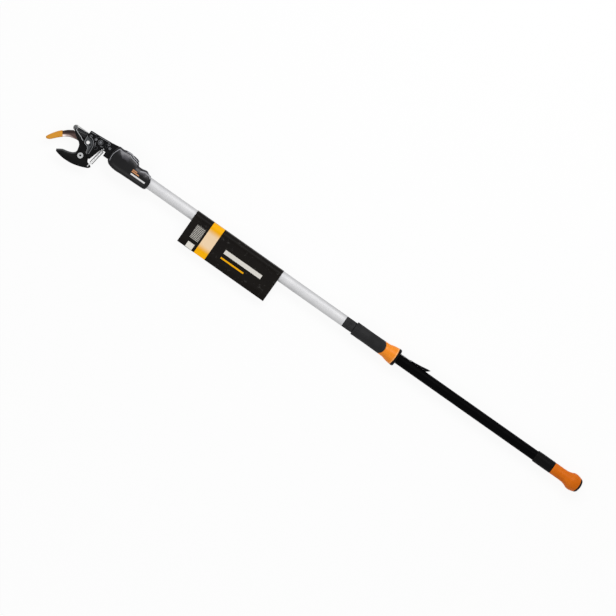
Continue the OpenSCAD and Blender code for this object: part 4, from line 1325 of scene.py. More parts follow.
class CuttingHead(SubAssembly[HeadSizes]):
    """Hook with its cap, blade, roller, strap, return spring and the covers round them."""

    def pieces(self) -> None:
        """Makes the plates, the turned pieces, the strap and the spring."""
        self.hook()
        self.blade()
        self.roller()
        self.strap()
        self.spring()
        self.side_plate()
        self.bosses()

    @staticmethod
    def bored(place: Sequence[float], radius: float, steps: int = 15) -> Points:
        """Outline in metres of a round hole or plug, at a place in millimetres from the head's corner."""
        return at_head(arc(place, radius, 0, 345, steps))

    def hook(self) -> None:
        """Makes the hook as a ground plate and its cap as a thick plate with full rounds."""
        s = self.sizes
        eye = arc(PIVOT_SPOT, s.hook_eye_r, *s.hook_eye_arc, 20)
        outline = ring(curve(s.hook_top), curve(s.hook_back), s.hook_tang, eye, curve(s.hook_throat))
        along, across = outline.T
        place, height, slope = s.hook_middle
        inner = np.all([along < s.hook_inner, across < slope * (along - place) + height], axis=0)
        blunt, dull = s.hook_least
        keen = inner * np.maximum(rise(along, *s.hook_keen), blunt)
        # Painted highlight: the marks on the ground inner edge are strongest near the cap and fade along it.
        bright = keen * np.maximum(rise(along, *s.hook_highlight), dull)
        width, depth = s.hook_grind
        holes = [self.bored(PIVOT_SPOT, s.hook_bore_r, 23), self.bored(s.screws[1], s.hook_screw_r)]
        plate = slab(at_head(outline), s.hook_levels, s.edge, holes=holes,
                     glint=np.maximum(bright, s.hook_glint), grind=(keen, width * MM, depth * MM))
        self.add(plate, "hook", "head", HOOK_STEEL, "hook_plate")
        tip = arc(s.cap_tip, s.cap_tip_r, *s.cap_tip_arc, 10)
        cap = slab(at_head(ring(curve(s.cap_upper), tip, curve(s.cap_lower))), s.cap_levels, s.cap_edge)
        self.add(cap, "tip_cap", "head", ORANGE_CAP, "hook_tip_cap")

    def blade(self) -> None:
        """Makes the blade as a plate whose jaw edge is ground to a slope, with a highlight painted along its
        arm's edge.
        """
        s = self.sizes
        jaw, arm = curve(s.jaw_edge), curve(s.arm_edge)
        tip = arc(s.roller, s.arm_tip_r, *s.arm_tip_arc, 12)
        outline = ring(jaw, tip, arm, curve(s.blade_heel), curve(s.blade_belly))
        cutting = rise(outline[:, 1], *s.jaw_keen) * beside(outline, jaw)
        # Painted highlight: the arm's edge is marked in the coating's pale ground colour, as a lit edge.
        lit = beside(outline, arm[:s.arm_lit])
        width, depth = s.blade_grind
        holes = [self.bored(PIVOT_SPOT, s.blade_bore_r, 31), self.bored(s.roller, s.roller_pin_r),
                 self.bored(s.tail_hole, s.tail_hole_r)]
        ground = np.maximum(cutting, lit * s.arm_ground)
        plate = slab(at_head(outline), s.blade_levels, s.edge, holes=holes,
                     glint=np.maximum(lit, s.blade_glint), grind=(ground, width * MM, depth * MM))
        self.add(plate, "cutting_blade", "blade", BLADE_COATING, "blade")

    def roller(self) -> None:
        """Makes the arm's roller: a turned ring with two rims, a shallow groove and a bore."""
        s = self.sizes
        shell = Shell.revolved(upright(s.roller_profile), Lay.UPRIGHT, at_head(s.roller), 48, ring=True)
        self.add(shell, "strap_roller", "arm_roller", ROLLER_GREY, "arm_roller")

    def strap(self) -> None:
        """Makes the arm strap: a ribbon along a line to the roller, half round it and back to the drum."""
        s = self.sizes
        bend = arc(s.roller, s.strap_r, 90, 270, 24)
        out = np.linspace(s.strap_anchor, bend[0], 14)[:-1]
        back = np.linspace(bend[-1], s.strap_drum, 22)[1:]
        path = at_head(np.vstack([out, bend, back]))
        low, high = s.strap_levels
        piece = Shell.ribbon(path, STRAP_THICK * MM, level(low), level(high)).piece("pull_strap")
        self.settle(piece, STRAP_WEB, ("arm_strap",))
        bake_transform(piece)

    def spring(self) -> None:
        """Makes the return spring: a helix with narrow ends and painted shade on its flanks, and a loop at
        each end.
        """
        s = self.sizes
        top, bottom = np.array(s.spring_top, float), np.array(s.spring_bottom, float)
        run = bottom - top
        line = run / np.linalg.norm(run)
        side = np.array([-line[1], line[0]])
        share = np.linspace(0, 1, s.curls * s.curl_steps + 1)
        angle = 2 * math.pi * s.curls * share
        wide = np.clip(np.minimum(share, 1 - share) * s.curls, 0, 1)
        radius = s.coil_r * (s.coil_end + (1 - s.coil_end) * wide * wide * (3 - 2 * wide))
        flat = top + run * share[:, None] + side * (radius * np.cos(angle))[:, None]
        coil = np.column_stack([flat, s.spring_level + radius * np.sin(angle)])
        wound = self.spring_wire(coil, (*line, 0))
        # Painted shade: the coil's flanks, where the wire turns to the side, take the dark ground colour.
        painted_flank_shade = rise(np.abs(np.cos(angle)), *s.flank_shade)
        wound.marks = np.repeat(painted_flank_shade, len(wound.points) // len(painted_flank_shade))
        upper = self.post_loop(coil[0, :2] + side * s.post_lead)
        lower = self.tail_loop(coil[-1, :2], line)
        shell = Shell.join(wound, self.spring_wire(upper, (0, 0, 1)), self.spring_wire(lower, (*side, 0)))
        piece = shell.piece("return_coil", s.coil_sharp)
        self.settle(piece, SPRING_STEEL, ("return_spring",))
        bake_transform(piece)

    def spring_wire(self, path: Points, across: Sequence[float]) -> Shell:
        """The spring's wire along a path in millimetres from the head's corner and the pole's axis."""
        middle = np.column_stack([at_head(path[:, :2]), AXIS_HEIGHT + path[:, 2] * MM])
        return Shell.wire(middle, self.sizes.wire_r * MM, across)

    def post_loop(self, first: Points) -> Points:
        """Path of the spring's upper loop: an open level circle round its post.

        Args:
            first: Where the coil ends.

        Returns:
            The path's points.
        """
        s = self.sizes
        flat = np.vstack([first, arc(s.spring_post, s.post_loop_r, *s.post_loop_arc, 26)])
        return np.column_stack([flat, np.full(len(flat), s.spring_level)])

    def tail_loop(self, first: Points, line: Points) -> Points:
        """Path of the spring's lower loop: an open upright circle through the hole in the blade's tail.

        Args:
            first: Where the coil ends.
            line: Unit step along the coil.

        Returns:
            The path's points.
        """
        s = self.sizes
        angle = np.radians(np.linspace(*s.tail_loop_arc, 30))[:, None]
        middle = np.array(s.tail_hole, float) - line * s.tail_loop_r
        flat = middle + line * s.tail_loop_r * np.cos(angle)
        loop = np.column_stack([flat, s.spring_level + s.tail_loop_r * np.sin(angle)])
        return np.vstack([[*first, s.spring_level], loop])

    def side_plate(self) -> None:
        """Makes the front side plate with a highlight painted along its edges, and the dark plug beside its
        rivet.
        """
        s = self.sizes
        outline = ring(curve(s.plate_outer), s.plate_inner)
        plate = slab(at_head(outline), s.plate_levels, s.plate_edge, foot=s.plate_foot * MM)
        self.add(plate, "front_plate", "head", PLATE_STEEL, "side_plate")
        plug = slab(self.bored(s.plug, s.plug_r, 23), s.plug_levels, s.plug_edge, foot=s.fine_edge * MM)
        self.add(plug, "plate_plug", "head", SOCKET_BLACK)

    def bosses(self) -> None:
        """Makes the moulded rings round the cover's screws and axle, the ribs between them, the cover's rim
        and two studs; the rings, ribs and rim are a light grey that paints their highlights, and a dark disc
        paints the shade on the bolt socket's floor.
        """
        s = self.sizes
        rings = [self.boss(place, *s.screw_ring) for place in s.screws]
        rings += [self.boss(place, *s.stud_ring) for place in s.studs]
        rings.append(self.boss(s.drum, *s.drum_ring))
        ribs = [self.rib(start, end) for start, end in s.ribs]
        crest = at_head(curve(s.cover_rim))
        crest = np.column_stack([crest, np.full(len(crest), level(s.cover_rim_level))])
        rim = Shell.wire(crest, s.cover_rim_r * MM, (0, 0, 1))
        self.add(Shell.join(*rings, *ribs, rim), "cover_ribs", "head", HEAD_HIGHLIGHT_TRIM)
        dome = upright(s.stud_dome)
        studs = [Shell.revolved(dome, Lay.UPRIGHT, at_head(place), 28) for place in s.studs[:2]]
        self.add(Shell.join(*studs), "cover_stud", "head", DARK_SCREW)
        # Painted shade: a dark disc on the bolt socket's floor stands in for the shade in the socket.
        floor = slab(at_head(arc(PIVOT_SPOT, s.socket_r, 0, 300, 5)), s.socket_levels, s.fine_edge)
        self.add(floor, "socket_painted_shade", "head", SOCKET_BLACK)

    def boss(self, place: Sequence[float], inner: float, outer: float) -> Shell:
        """A moulded ring on the front cover: a low round section turned about an upright line.

        Args:
            place: The ring's middle in millimetres from the head's corner.
            inner: Radius of its bore in millimetres.
            outer: Radius of its rim in millimetres.

        Returns:
            The ring.
        """
        foot, shoulder, crest = self.sizes.ring_levels
        bevel = self.sizes.ring_bevel
        profile = upright([(foot, inner), (shoulder, inner + bevel), (crest, (inner + outer) / 2),
                           (shoulder, outer - bevel), (foot, outer)])
        return Shell.revolved(profile, Lay.UPRIGHT, at_head(place), 40, ring=True)

    def rib(self, start: Sequence[float], end: Sequence[float]) -> Shell:
        """A raised rib on the front cover: a stadium outline between two points, with rounded edges.

        Args:
            start: First end in millimetres from the head's corner.
            end: Second end.

        Returns:
            The rib.
        """
        s = self.sizes
        heading = math.degrees(math.atan2(end[1] - start[1], end[0] - start[0]))
        far = arc(end, s.rib_half, heading - 90, heading + 90, 10)
        near = arc(start, s.rib_half, heading + 90, heading + 270, 10)
        return slab(at_head(ring(far, near)), s.rib_levels, s.rib_edge, foot=s.fine_edge * MM)

    def dress(self) -> None:
        """Gives the head's other solids their finishes."""
        self.recast(HEAD_PLASTIC, 0.6, "front_cover", "back_cover")
        self.recast(NECK_PLASTIC, 2.2, "head_core")
        self.recast(REAR_PLATE, 0.25, "rear_plate")
        self.recast(BRIGHT_STEEL, 0.9, "pivot_bolt")
        self.recast(RIVET_STEEL, 0.5, "side_plate_rivet")
        self.recast(BRIGHT_STEEL, 0.3, "pivot_nut", "spring_post", "strap_anchor_pin")
        self.recast(DARK_SCREW, 0.3, "drum_axle", "arm_roller_pin")
        self.recast(SOCKET_BLACK, 0.3, "head_screws")
        self.carry(BUSH_BRASS, "pivot_bush")
        self.carry(ROLLER_GREY, "strap_drum")
        self.webbing("neck_strap", "neck_webbing")


@dataclass(frozen=True)
class CasingSizes:
    """Sizes of the neck casing, in millimetres from the tilt axle."""

    left: tuple = ((-32, -12.5), (-34.3, -4), (-35, 5), (-34, 15), (-31, 25), (-26, 32.6))
    top: tuple = ((-14, 32.4), (-4, 34.8), (8, 35.57), (13, 34), (17, 31.8), (24, 30.2), (31, 28), (36, 25),
                  (39.5, 20), (44, 19.3), (52, 19.6))
    rear: tuple = ((58, 21.3), (64, 22), (68, 19.8), (72.5, 17.5), (78, 16), (82.5, 10.5), (85.8, 4),
                   (86.5, -4), (85.9, -12), (83.5, -17.8), (80, -19.9))
    under: tuple = ((70, -20.8), (36, -21.6), (12, -22.3), (0, -23), (-8, -22.7), (-16, -21.5), (-24, -19.2),
                    (-28, -16.5))
    spine: tuple = ((-2, 6), (62, -1))
    split: float = 0.05
    half: float = 23.2
    edge: float = 9.0
    split_edge: float = 0.4
    reach: float = 18.0
    crown: float = 6.0
    crown_along: tuple = (34, 14)
    crown_up: tuple = (8, 24)
    painted_highlight_up: tuple = (6, 20)
    painted_highlight_along: tuple = ((-33, -21, 8, 16, 34, 44, 88), (0, 0.9, 0.9, 0.1, 0.1, 0.45, 0.45))
    painted_highlight_lean: float = 2.0
    bead_tilts: tuple = ((46, 46), (20, 20), (42, 42), (12, 12), (58, 24))
    bead_radii: tuple = (0.85, 1.6, 1.2, 1.0, 1.9)
    bead_sunk: float = 0.6
    slot: tuple = (97, 313)
    slot_r: float = 70.0
    slot_half: float = 13.5
    well_r: float = 20.0
    well_half: float = 13.48
    socket_r: float = 14.6
    socket_run: tuple = (45, 100)
    button: tuple = ((14, 32.8), (17, 34), (24, 33.2), (30, 31.6), (34, 29))
    button_low: float = 28.0
    button_half: float = 9.5
    button_edge: float = 1.4
    button_gap: float = 0.3
    button_travel: float = 3.0
    pocket_top: float = 60.0
    ridge_r: float = 0.5
    ridge_half: float = 6.5
    ridge_edge: float = 0.2
    cut_edge: float = 0.1


class NeckCasing(SubAssembly[CasingSizes]):
    """Two rounded casing shells, the tilt button between them and what they hold."""

    def pieces(self) -> None:
        """Makes the two shells, the button and the beads."""
        s = self.sizes
        outline = ring(curve(s.left + s.top + s.rear + s.under)) * MM
        along, up = outline.T / MM
        # Painted highlight: marks on the upper shoulders lighten the shell's colour and gloss its coat.
        rubbed_and_sheen = rise(up, *s.painted_highlight_up) * np.interp(along, *s.painted_highlight_along)
        front = slab(outline, (s.split, s.half), s.edge, foot=s.split_edge * MM, glint=rubbed_and_sheen,
                     lean=s.painted_highlight_lean, spine=np.array(s.spine, float) * MM,
                     reach=self.reach(outline / MM) * MM)
        for shell, side in self.both(front):
            piece = self.add(shell, f"casing_{side}_shell", "pole", CASING_PLASTIC, f"casing_{side}")
            self.carve(piece, *self.hollows())
        self.button()
        self.beads()

    @staticmethod
    def both(front: Shell) -> tuple[tuple[Shell, str], ...]:
        """A shell of the front side and its mirror at the back, each with its side's name."""
        return (front, "front"), (front.turned_over(), "back")

    def reach(self, outline: Points) -> Points:
        """Width of the shell's round in millimetres: the plain reach, and the crown's on the upper front."""
        s = self.sizes
        return s.reach + s.crown * rise(outline[:, 0], *s.crown_along) * rise(outline[:, 1], *s.crown_up)

    def beads(self) -> None:
        """Makes the raised beads along the casing's rim, its button and its rear top, on both sides, in a
        light grey that paints the highlights of these edges.
        """
        s = self.sizes
        runs = (s.left + s.top[:2], s.top[1:7], s.top[2:8], s.top[-1:] + s.rear[:7], s.top[-1:] + s.rear[:6])
        front = Shell.join(*map(self.bead, runs, s.bead_tilts, s.bead_radii))
        for shell, side in self.both(front):
            self.add(shell, f"casing_{side}_beads", "pole", CASING_HIGHLIGHT_BEAD)

    def bead(self, run: tuple, tilts: tuple[float, float], radius: float) -> Shell:
        """A bead sunk into the shell's round: the outline, moved in and up to a tilt on that round.

        Args:
            run: Points of the outline that the bead follows, in millimetres from the tilt axle.
            tilts: First and last angle on the quarter round in degrees, from its foot.
            radius: Radius of the bead in millimetres.

        Returns:
            The bead.
        """
        s = self.sizes
        path = curve(run)
        angle = np.radians(np.linspace(*tilts, len(path)))[:, None]
        sunk = s.bead_sunk * radius
        inset = self.reach(path)[:, None] * (1 - np.cos(angle)) + sunk * np.cos(angle)
        flat = path + Shell.towards(path, np.array(s.spine, float)) * inset
        high = s.half - s.edge + (s.edge - sunk) * np.sin(angle)
        middle = np.hstack([flat, high]) * MM + [0, 0, AXIS_HEIGHT]
        return Shell.wire(middle, radius * MM, (0, 0, 1))

    def hollows(self) -> list[Shell]:
        """What the head's tongue, the tube and the button take out of the shells.

        Returns:
            The wedge that the neck sweeps, the tongue's well, the tube's socket and the button's slot.
        """
        s = self.sizes
        sweep = ring([(0, 0)], arc((0, 0), s.slot_r, *s.slot, 48)) * MM
        wedge = slab(sweep, (-s.slot_half, s.slot_half), s.cut_edge)
        well = slab(arc((0, 0), s.well_r, 0, 356, 89) * MM, (-s.well_half, s.well_half), s.cut_edge)
        bore = np.array([(place, s.socket_r) for place in s.socket_run]) * MM
        socket = Shell.revolved(bore, Lay.POLE, segments=72)
        left, right = s.button[0][0] - s.button_gap, s.button[-1][0] + s.button_gap
        low, half = s.button_low - s.button_travel - s.button_gap, s.button_half + s.button_gap
        pocket = ring([(left, low), (right, low), (right, s.pocket_top), (left, s.pocket_top)]) * MM
        return [wedge, well, socket, slab(pocket, (-half, half), s.cut_edge)]

    def button(self) -> None:
        """Makes the tilt button: a rounded block with grip ridges along its top."""
        s = self.sizes
        top = curve(s.button)
        outline = ring([(top[0, 0], s.button_low)], top, [(top[-1, 0], s.button_low)]) * MM
        block = slab(outline, (-s.button_half, s.button_half), s.button_edge)
        ridges = [slab(arc(place, s.ridge_r, 0, 330, 11) * MM, (-s.ridge_half, s.ridge_half), s.ridge_edge)
                  for place in top[6:22:3]]
        self.add(Shell.join(block, *ridges), "lock_button", "button", BUTTON_PLASTIC, "tilt_button")

    def dress(self) -> None:
        """Gives the casing's other solids their finishes."""
        self.recast(ORANGE_INLAY, 0.08, "label_bar")
        self.recast(WHITE_INLAY, 0.08, "label_stripe")
        self.recast(DARK_SCREW, 0.3, "casing_screws", "tube_bolt")
        self.carry(BRIGHT_STEEL, "tilt_axle")
        self.carry(SPRING_STEEL, "button_spring")
        self.carry(ROLLER_GREY, "joint_pulley")


@dataclass(frozen=True)
class TubeSizes:
    """Sizes of the tubes and their collar, in millimetres. The collar's steps are shares of its length."""

    lip: float = 0.3
    gap: float = 0.05
    collar_steps: tuple = (0, 0.03, 0.14, 0.18)
    collar_insets: tuple = (0.5, 0, 0, 0.3)
    ribs: int = 48
    rib_height: float = 0.25


class Pole(SubAssembly[TubeSizes]):
    """The two tubes, their collar and the strap inside them."""

    def pieces(self) -> None:
        """Makes the upper tube with softened lips and the ribbed collar."""
        low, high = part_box("upper_tube")
        outer = girth("upper_tube")
        bore = girth("lower_tube") + self.sizes.gap * MM
        lip = self.sizes.lip * MM
        profile = np.array([[low.x, bore], [low.x, outer - lip], [low.x + lip, outer], [high.x - lip, outer],
                            [high.x, outer - lip], [high.x, bore]])
        tube = Shell.revolved(profile, Lay.POLE, ring=True)
        self.add(tube, "upper_pole", "pole", TUBE_ALUMINIUM, "upper_tube")
        self.collar(bore)

    def collar(self, bore: float) -> None:
        """Makes the collar: a ring whose middle carries lengthwise ribs, as a cosine round the pole.

        Args:
            bore: Radius of its bore in metres.
        """
        s = self.sizes
        low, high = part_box("joint_collar")
        steps, insets = np.array(s.collar_steps), np.array(s.collar_insets)
        share = np.concatenate([[0], steps, [0.5], 1 - steps[::-1], [1]])
        skin = girth("joint_collar") - np.concatenate([insets, insets[-1:], insets[::-1]]) * MM
        radius = np.concatenate([[bore], skin, [bore]])
        ribbed = np.abs(share - 0.5) < 0.5 - np.mean(steps[-2:])
        angle = turn(240)
        wavy = radius[:, None] + ribbed[:, None] * s.rib_height * MM * np.cos(s.ribs * angle)
        points = round_pole((low.x + share * (high.x - low.x))[:, None], wavy, angle)
        shell = Shell.grid(points, close_rows=True, close_columns=True)
        self.add(shell, "tube_collar", "pole", COLLAR_PLASTIC, "joint_collar")

    def dress(self) -> None:
        """Gives the lower tube and the strap their finishes."""
        self.carry(TUBE_BLACK, "lower_tube")
        self.webbing("pole_strap", "pole_webbing")


@dataclass(frozen=True)
class SliderSizes:
    """Sizes of the slider, in millimetres."""

    saddle_r: float = 20.75
    saddle_depth: float = 10.0
    bore_r: float = 13.55
    grooves: tuple = (8, 12, 16)
    groove: tuple = (0.55, 0.8)
    waist: float = 0.35
    end_round: tuple = (1.2, 0.9)
    seam: float = 0.1
    flare: tuple = ((0, 17.75), (14, 18.25), (23, 20.5), (32, 22.1), (39, 22.9), (43, 22.9))
    rim: float = 40.0
    bulge: float = 2.6
    rim_highlight: tuple = (0.95, 0.03)
    lip: tuple = ((39.9, 22.9), (40.5, 23.1), (44.5, 23.1), (46.5, 22.4), (48.2, 20.6), (48.9, 17.8))
    lip_seam: float = 0.05
    hinge: tuple = (864.3, 14.65)
    leaf_upper: tuple = ((0, 1), (8, 1.2), (15.7, 2.1), (28, 3.6), (40, 5.5), (46, 6.4), (54, 7.2))
    leaf_under: tuple = ((53.6, 5.9), (51, 3.2), (47, 0.1), (45, -1.41), (8, -1.41), (3.2, -1.41))
    leaf_start: float = 2.6
    leaf_half: float = 5.5
    leaf_edge: float = 0.6
    eye: tuple = ((3, -0.95), (6, -0.95), (6, 1.1))
    eye_r: float = 1.0
    eye_half: float = 3.3
    eye_edge: float = 0.3


class Slider(SubAssembly[SliderSizes]):
    """Pull grip, flared ring with its lip and the lever behind it."""

    def __init__(self, sizes: SliderSizes) -> None:
        """Keeps the slider's sizes and works out its places from the grip's solid.

        Args:
            sizes: The slider's sizes.
        """
        super().__init__(sizes)
        low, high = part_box("slider_grip")
        self.start = low.x
        self.joint = high.x
        self.ring_start = high.x - sizes.saddle_depth * MM
        self.grip_r = girth("slider_grip")
        self.angle = turn(120)

    def saddle(self) -> Points:
        """Place along the pole of the saddle joint at each angle: the edge of an upright cylinder.

        Returns:
            The places in metres.
        """
        radius = self.sizes.saddle_r * MM
        across = self.grip_r * np.cos(self.angle)
        return self.joint - radius + np.sqrt(np.maximum(radius**2 - across**2, 0))

    def sleeve(self, place: Points, radius: Points) -> Shell:
        """A closed piece round the pole, whose first and last rows lie on the slider's bore."""
        radius[[0, -1]] = self.sizes.bore_r * MM
        return Shell.grid(round_pole(place, radius, self.angle), close_rows=True, close_columns=True)

    def pieces(self) -> None:
        """Makes the grip, the ring, its lip and the lever leaf."""
        self.grip()
        self.flared_ring()
        self.lip()
        self.lever()

    def grip(self) -> None:
        """Makes the grip: a tube from its lip to the saddle, with three grooves and a slight waist."""
        s = self.sizes
        share = np.concatenate([[0, 0, 0.004, 0.014], np.linspace(0.02, 0.992, 150), [1, 1]])
        run = share * (self.joint - self.start) / MM
        depth, fade = s.end_round
        ends = depth * np.exp(-run / fade)
        inset = grooves(run, s.grooves, *s.groove) + s.waist * np.sin(math.pi * share) ** 2 + ends
        place = self.start + share[:, None] * (self.saddle() - self.start)
        shell = self.sleeve(place, (self.grip_r - inset * MM)[:, None])
        self.add(shell, "pull_grip", "slider", GRIP_RUBBER, "slider_grip")

    def flared_ring(self) -> None:
        """Makes the ring: its flare is carried round the pole from the saddle to a bulging rim."""
        s = self.sizes
        flare = curve(s.flare, 10)
        first = self.saddle() + s.seam * MM
        end = self.ring_start + self.rim()
        share = np.concatenate([[0.0], np.linspace(0, 0.72, 24), np.linspace(0.74, 1, 26), [1.0]])[:, None]
        place = first + share * (end - first)
        radius = np.interp((place - self.ring_start) / MM, flare[:, 0], flare[:, 1]) * MM
        shell = self.sleeve(place, radius)
        middle, width = s.rim_highlight
        # Painted highlight: a pale band near the ring's rim.
        shell.marks = np.repeat(np.exp(-(((share - middle) / width) ** 2)), self.angle.size)
        self.add(shell, "flared_ring", "slider", ORANGE_RING, "slider_ring")

    def rim(self) -> Points:
        """Length of the ring up to its lip: the rim's place plus a bulge that goes with the sine squared."""
        return (self.sizes.rim + self.sizes.bulge * np.sin(self.angle) ** 2) * MM

    def lip(self) -> None:
        """Makes the black lip: a rolled edge carried round the pole from the ring's rim to its end."""
        s = self.sizes
        skin = curve(s.lip, 5)
        first = self.rim() + s.lip_seam * MM
        share = np.concatenate([[0.0], np.linspace(0, 1, 30), [1.0]])[:, None]
        place = first + share * (skin[-1, 0] * MM - first)
        radius = np.interp(place / MM, skin[:, 0], skin[:, 1]) * MM
        shell = self.sleeve(place + self.ring_start, radius)
        self.add(shell, "rolled_lip", "slider", BLACK_PLASTIC, "ring_lip")

    def lever(self) -> None:
        """Makes the lever leaf: its side outline carried across its width, with a narrower eye."""
        s = self.sizes
        hinge = np.array(s.hinge)
        side = ring(curve(s.leaf_upper), s.leaf_under)
        leaf = ring(side[side[:, 0] > s.leaf_start])
        eye = ring(arc((0, 0), s.eye_r, 90, 270, 14), s.eye)
        broad = slab((hinge + leaf) * MM, (-s.leaf_half, s.leaf_half), s.leaf_edge)
        narrow = slab((hinge + eye) * MM, (-s.eye_half, s.eye_half), s.eye_edge)
        self.add(Shell.join(broad, narrow), "lever_leaf", "lever", BLACK_PLASTIC, "release_lever")

    def dress(self) -> None:
        """Gives the slider's other solids their finishes."""
        self.recast(BLACK_PLASTIC, 0.3, "lever_base")
        self.recast(BRIGHT_STEEL, 0.2, "lever_pin", "carriage_pin")
        self.carry(BLACK_PLASTIC, "slider_carriage")


@dataclass(frozen=True)
class EndSizes:
    """Sizes of the end knob, in millimetres along the pole from its front and out from the axis."""

    sleeve_gap: float = 0.1
    sleeve_grooves: tuple = (6, 10)
    sleeve_last: float = 7.0
    sleeve_groove: tuple = (0.5, 0.7)
    sleeve_round: tuple = (1.1, 0.8)
    foot: tuple = ((-22, 0.01), (-22, 11.35), (-0.4, 11.35), (0, 14.4), (0.4, 14.9))
    body: tuple = ((1.5, 15.25), (20, 15.25), (33.5, 15.45), (40.5, 16.45), (46.5, 18.3), (52.5, 21),
                   (58, 21.9), (64, 21.4), (70, 20), (74.5, 18.5), (77.2, 17.3), (79.1, 15.7), (80.7, 13.3),
                   (82, 9.9), (83.3, 4), (83.5, 0.01))
    body_groove: tuple = (0.5, 0.8)
    body_groove_place: float = 24.0
    bulge: float = 4.0
    length: float = 83.5
    rim: float = 6.0
    cap_r: float = 11.5
    cap_gap: float = 0.1
    cap_seam: float = 0.05
    cap_depth: float = 5.0
    middle_r: float = 0.01


class PoleEnd(SubAssembly[EndSizes]):
    """End sleeve, pull knob and the cap in the knob's end."""

    def pieces(self) -> None:
        """Makes the sleeve with its rings, the knob and the round cap on its end."""
        s = self.sizes
        self.sleeve()
        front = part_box("knob_end_cap")[1].x - s.length * MM
        shoulder = s.length - s.rim
        seam = shoulder - s.bulge * np.cos(turn(96)) ** 2
        floor = shoulder - s.bulge - s.cap_depth
        seat = ((floor, s.cap_r + s.cap_gap), (floor, s.middle_r))
        knob = self.turned(front, s.foot, self.skin(s.body[0][0], seam, 90), seat)
        self.add(knob, "pull_knob", "knob", ORANGE_KNOB, "end_knob")
        plug = ((floor, s.middle_r), (floor, s.cap_r))
        cap = self.turned(front, plug, self.skin(seam + s.cap_seam, s.length, 30), ())
        self.add(cap, "knob_cap", "knob", BLACK_PLASTIC, "knob_end_cap")

    def sleeve(self) -> None:
        """Makes the end sleeve: a tube with three grooves and ends rounded by a falling exponential."""
        s = self.sizes
        low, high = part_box("end_sleeve")
        bore = girth("lower_tube") + s.sleeve_gap * MM
        share = np.linspace(0, 1, 90)
        length = (high.x - low.x) / MM
        depth, fade = s.sleeve_round
        ends = depth * np.exp(-np.minimum(share, 1 - share) * length / fade)
        inset = grooves(share * length, (*s.sleeve_grooves, length - s.sleeve_last), *s.sleeve_groove) + ends
        skin = np.column_stack([low.x + share * (high.x - low.x), girth("end_sleeve") - inset * MM])
        profile = np.vstack([[[low.x, bore]], skin, [[high.x, bore]]])
        shell = Shell.revolved(profile, Lay.POLE, ring=True)
        self.add(shell, "pole_sleeve", "pole", BLACK_PLASTIC, "end_sleeve")

    def skin(self, first: object, last: object, steps: int) -> Points:
        """The knob's outer skin between two places: the outline's radius, less a fine groove, at even steps.

        Args:
            first: Where the skin starts along the knob, for all of it or for each angle.
            last: Where it ends.
            steps: Number of rows.

        Returns:
            Rows of pairs of place and radius for each angle, in millimetres.
        """
        s = self.sizes
        body = curve(s.body, 9)
        place = first + np.linspace(0, 1, steps)[:, None] * (last - first)
        groove = grooves(place, (s.body_groove_place,), *s.body_groove)
        return np.stack([place, np.interp(place, body[:, 0], body[:, 1]) - groove], -1)

    @staticmethod
    def turned(front: float, before: Sequence, skin: Points, after: Sequence) -> Shell:
        """A turned piece whose skin has an uneven end: plain rows of one radius stand before and after it.

        Args:
            front: Place of the knob's front along the pole in metres.
            before: Pairs of place and radius of the plain rows before the skin, in millimetres.
            skin: Rows of pairs for each angle.
            after: Pairs of the plain rows after it.

        Returns:
            The turned shell.
        """
        plain = (np.array(run, float).reshape(-1, 1, 2) for run in (before, after))
        first, last = (np.repeat(rows, skin.shape[1], axis=1) for rows in plain)
        place, radius = np.moveaxis(np.concatenate([first, skin, last]) * MM, -1, 0)
        points = round_pole(front + place, radius, turn(skin.shape[1]))
        return Shell.grid(points, close_columns=True, caps=True)

    def dress(self) -> None:
        """Shows the knob's strap."""
        self.webbing("knob_strap", "knob_webbing")


@dataclass(frozen=True)
class CardSizes:
    """Sizes of the card sleeve, in millimetres from the pole's axis."""

    radius: float = 15.0
    drop: float = 76.0
    drop_gap: float = 0.31
    seam: float = 62.0
    seam_gap: float = 0.32
    seam_lean: float = 0.3
    thick: float = 0.588
    bow: float = 0.9
    bow_end: float = 0.35
    waver: float = 0.25
    waves: float = 9.0


class CardSleeve(SubAssembly[CardSizes]):
    """Printed card wrapped round the upper tube, with its two panels pressed together in a seam below."""

    def loop(self) -> tuple[Points, Points]:
        """The card's middle line across the pole: a seam strip, a panel, a round over the tube, and back.

        Returns:
            The line's points in millimetres, and each one's share of the bow: a panel's sine squared.
        """
        s = self.sizes
        lean = math.degrees(math.atan2(s.seam_lean, -s.seam) - math.acos(s.radius / s.seam))
        over = arc((0, 0), s.radius, lean, 0, 22)
        panel = np.linspace((-s.seam, s.seam_gap), over[0], 26)
        strip = np.linspace((-s.drop, s.drop_gap), (-s.seam, s.seam_gap), 8)[:-1]
        half = np.vstack([strip, panel, over[1:]])
        swell = np.sin(np.linspace(0, math.pi, len(panel))) ** 2
        lift = np.concatenate([np.zeros(len(strip)), swell, np.zeros(len(over) - 1)])
        return np.vstack([half, half[-2::-1] * [1, -1]]), np.concatenate([lift, -lift[-2::-1]])

    def pieces(self) -> None:
        """Makes the card: its loop with a thickness, carried along the pole with a slight wavering bow."""
        s = self.sizes
        low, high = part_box("card_sleeve")
        loop, lift = self.loop()
        outward = leftward(headings(loop)) * s.thick / 2
        band = np.vstack([loop + outward, (loop - outward)[::-1]])
        lift = np.concatenate([lift, lift[::-1]])
        share = np.linspace(0, 1, 60)
        bow = s.bow * (s.bow_end + (1 - s.bow_end) * np.sin(math.pi * share) ** 2)
        bow = bow * (1 - s.waver + s.waver * np.sin(s.waves * share))
        height = band[None, :, 1] - bow[:, None] * lift[None, :]
        place = np.broadcast_to((low.x + share * (high.x - low.x))[:, None], height.shape)
        across = np.broadcast_to(band[None, :, 0] * MM, height.shape)
        points = np.stack([place, across, AXIS_HEIGHT + height * MM], -1)
        shell = Shell.grid(points, close_columns=True, caps=True)
        self.add(shell, "card_wrap", "pole", CARD_PRINT, "card_sleeve")

    def dress(self) -> None:
        """Leaves no solid of the card to dress."""


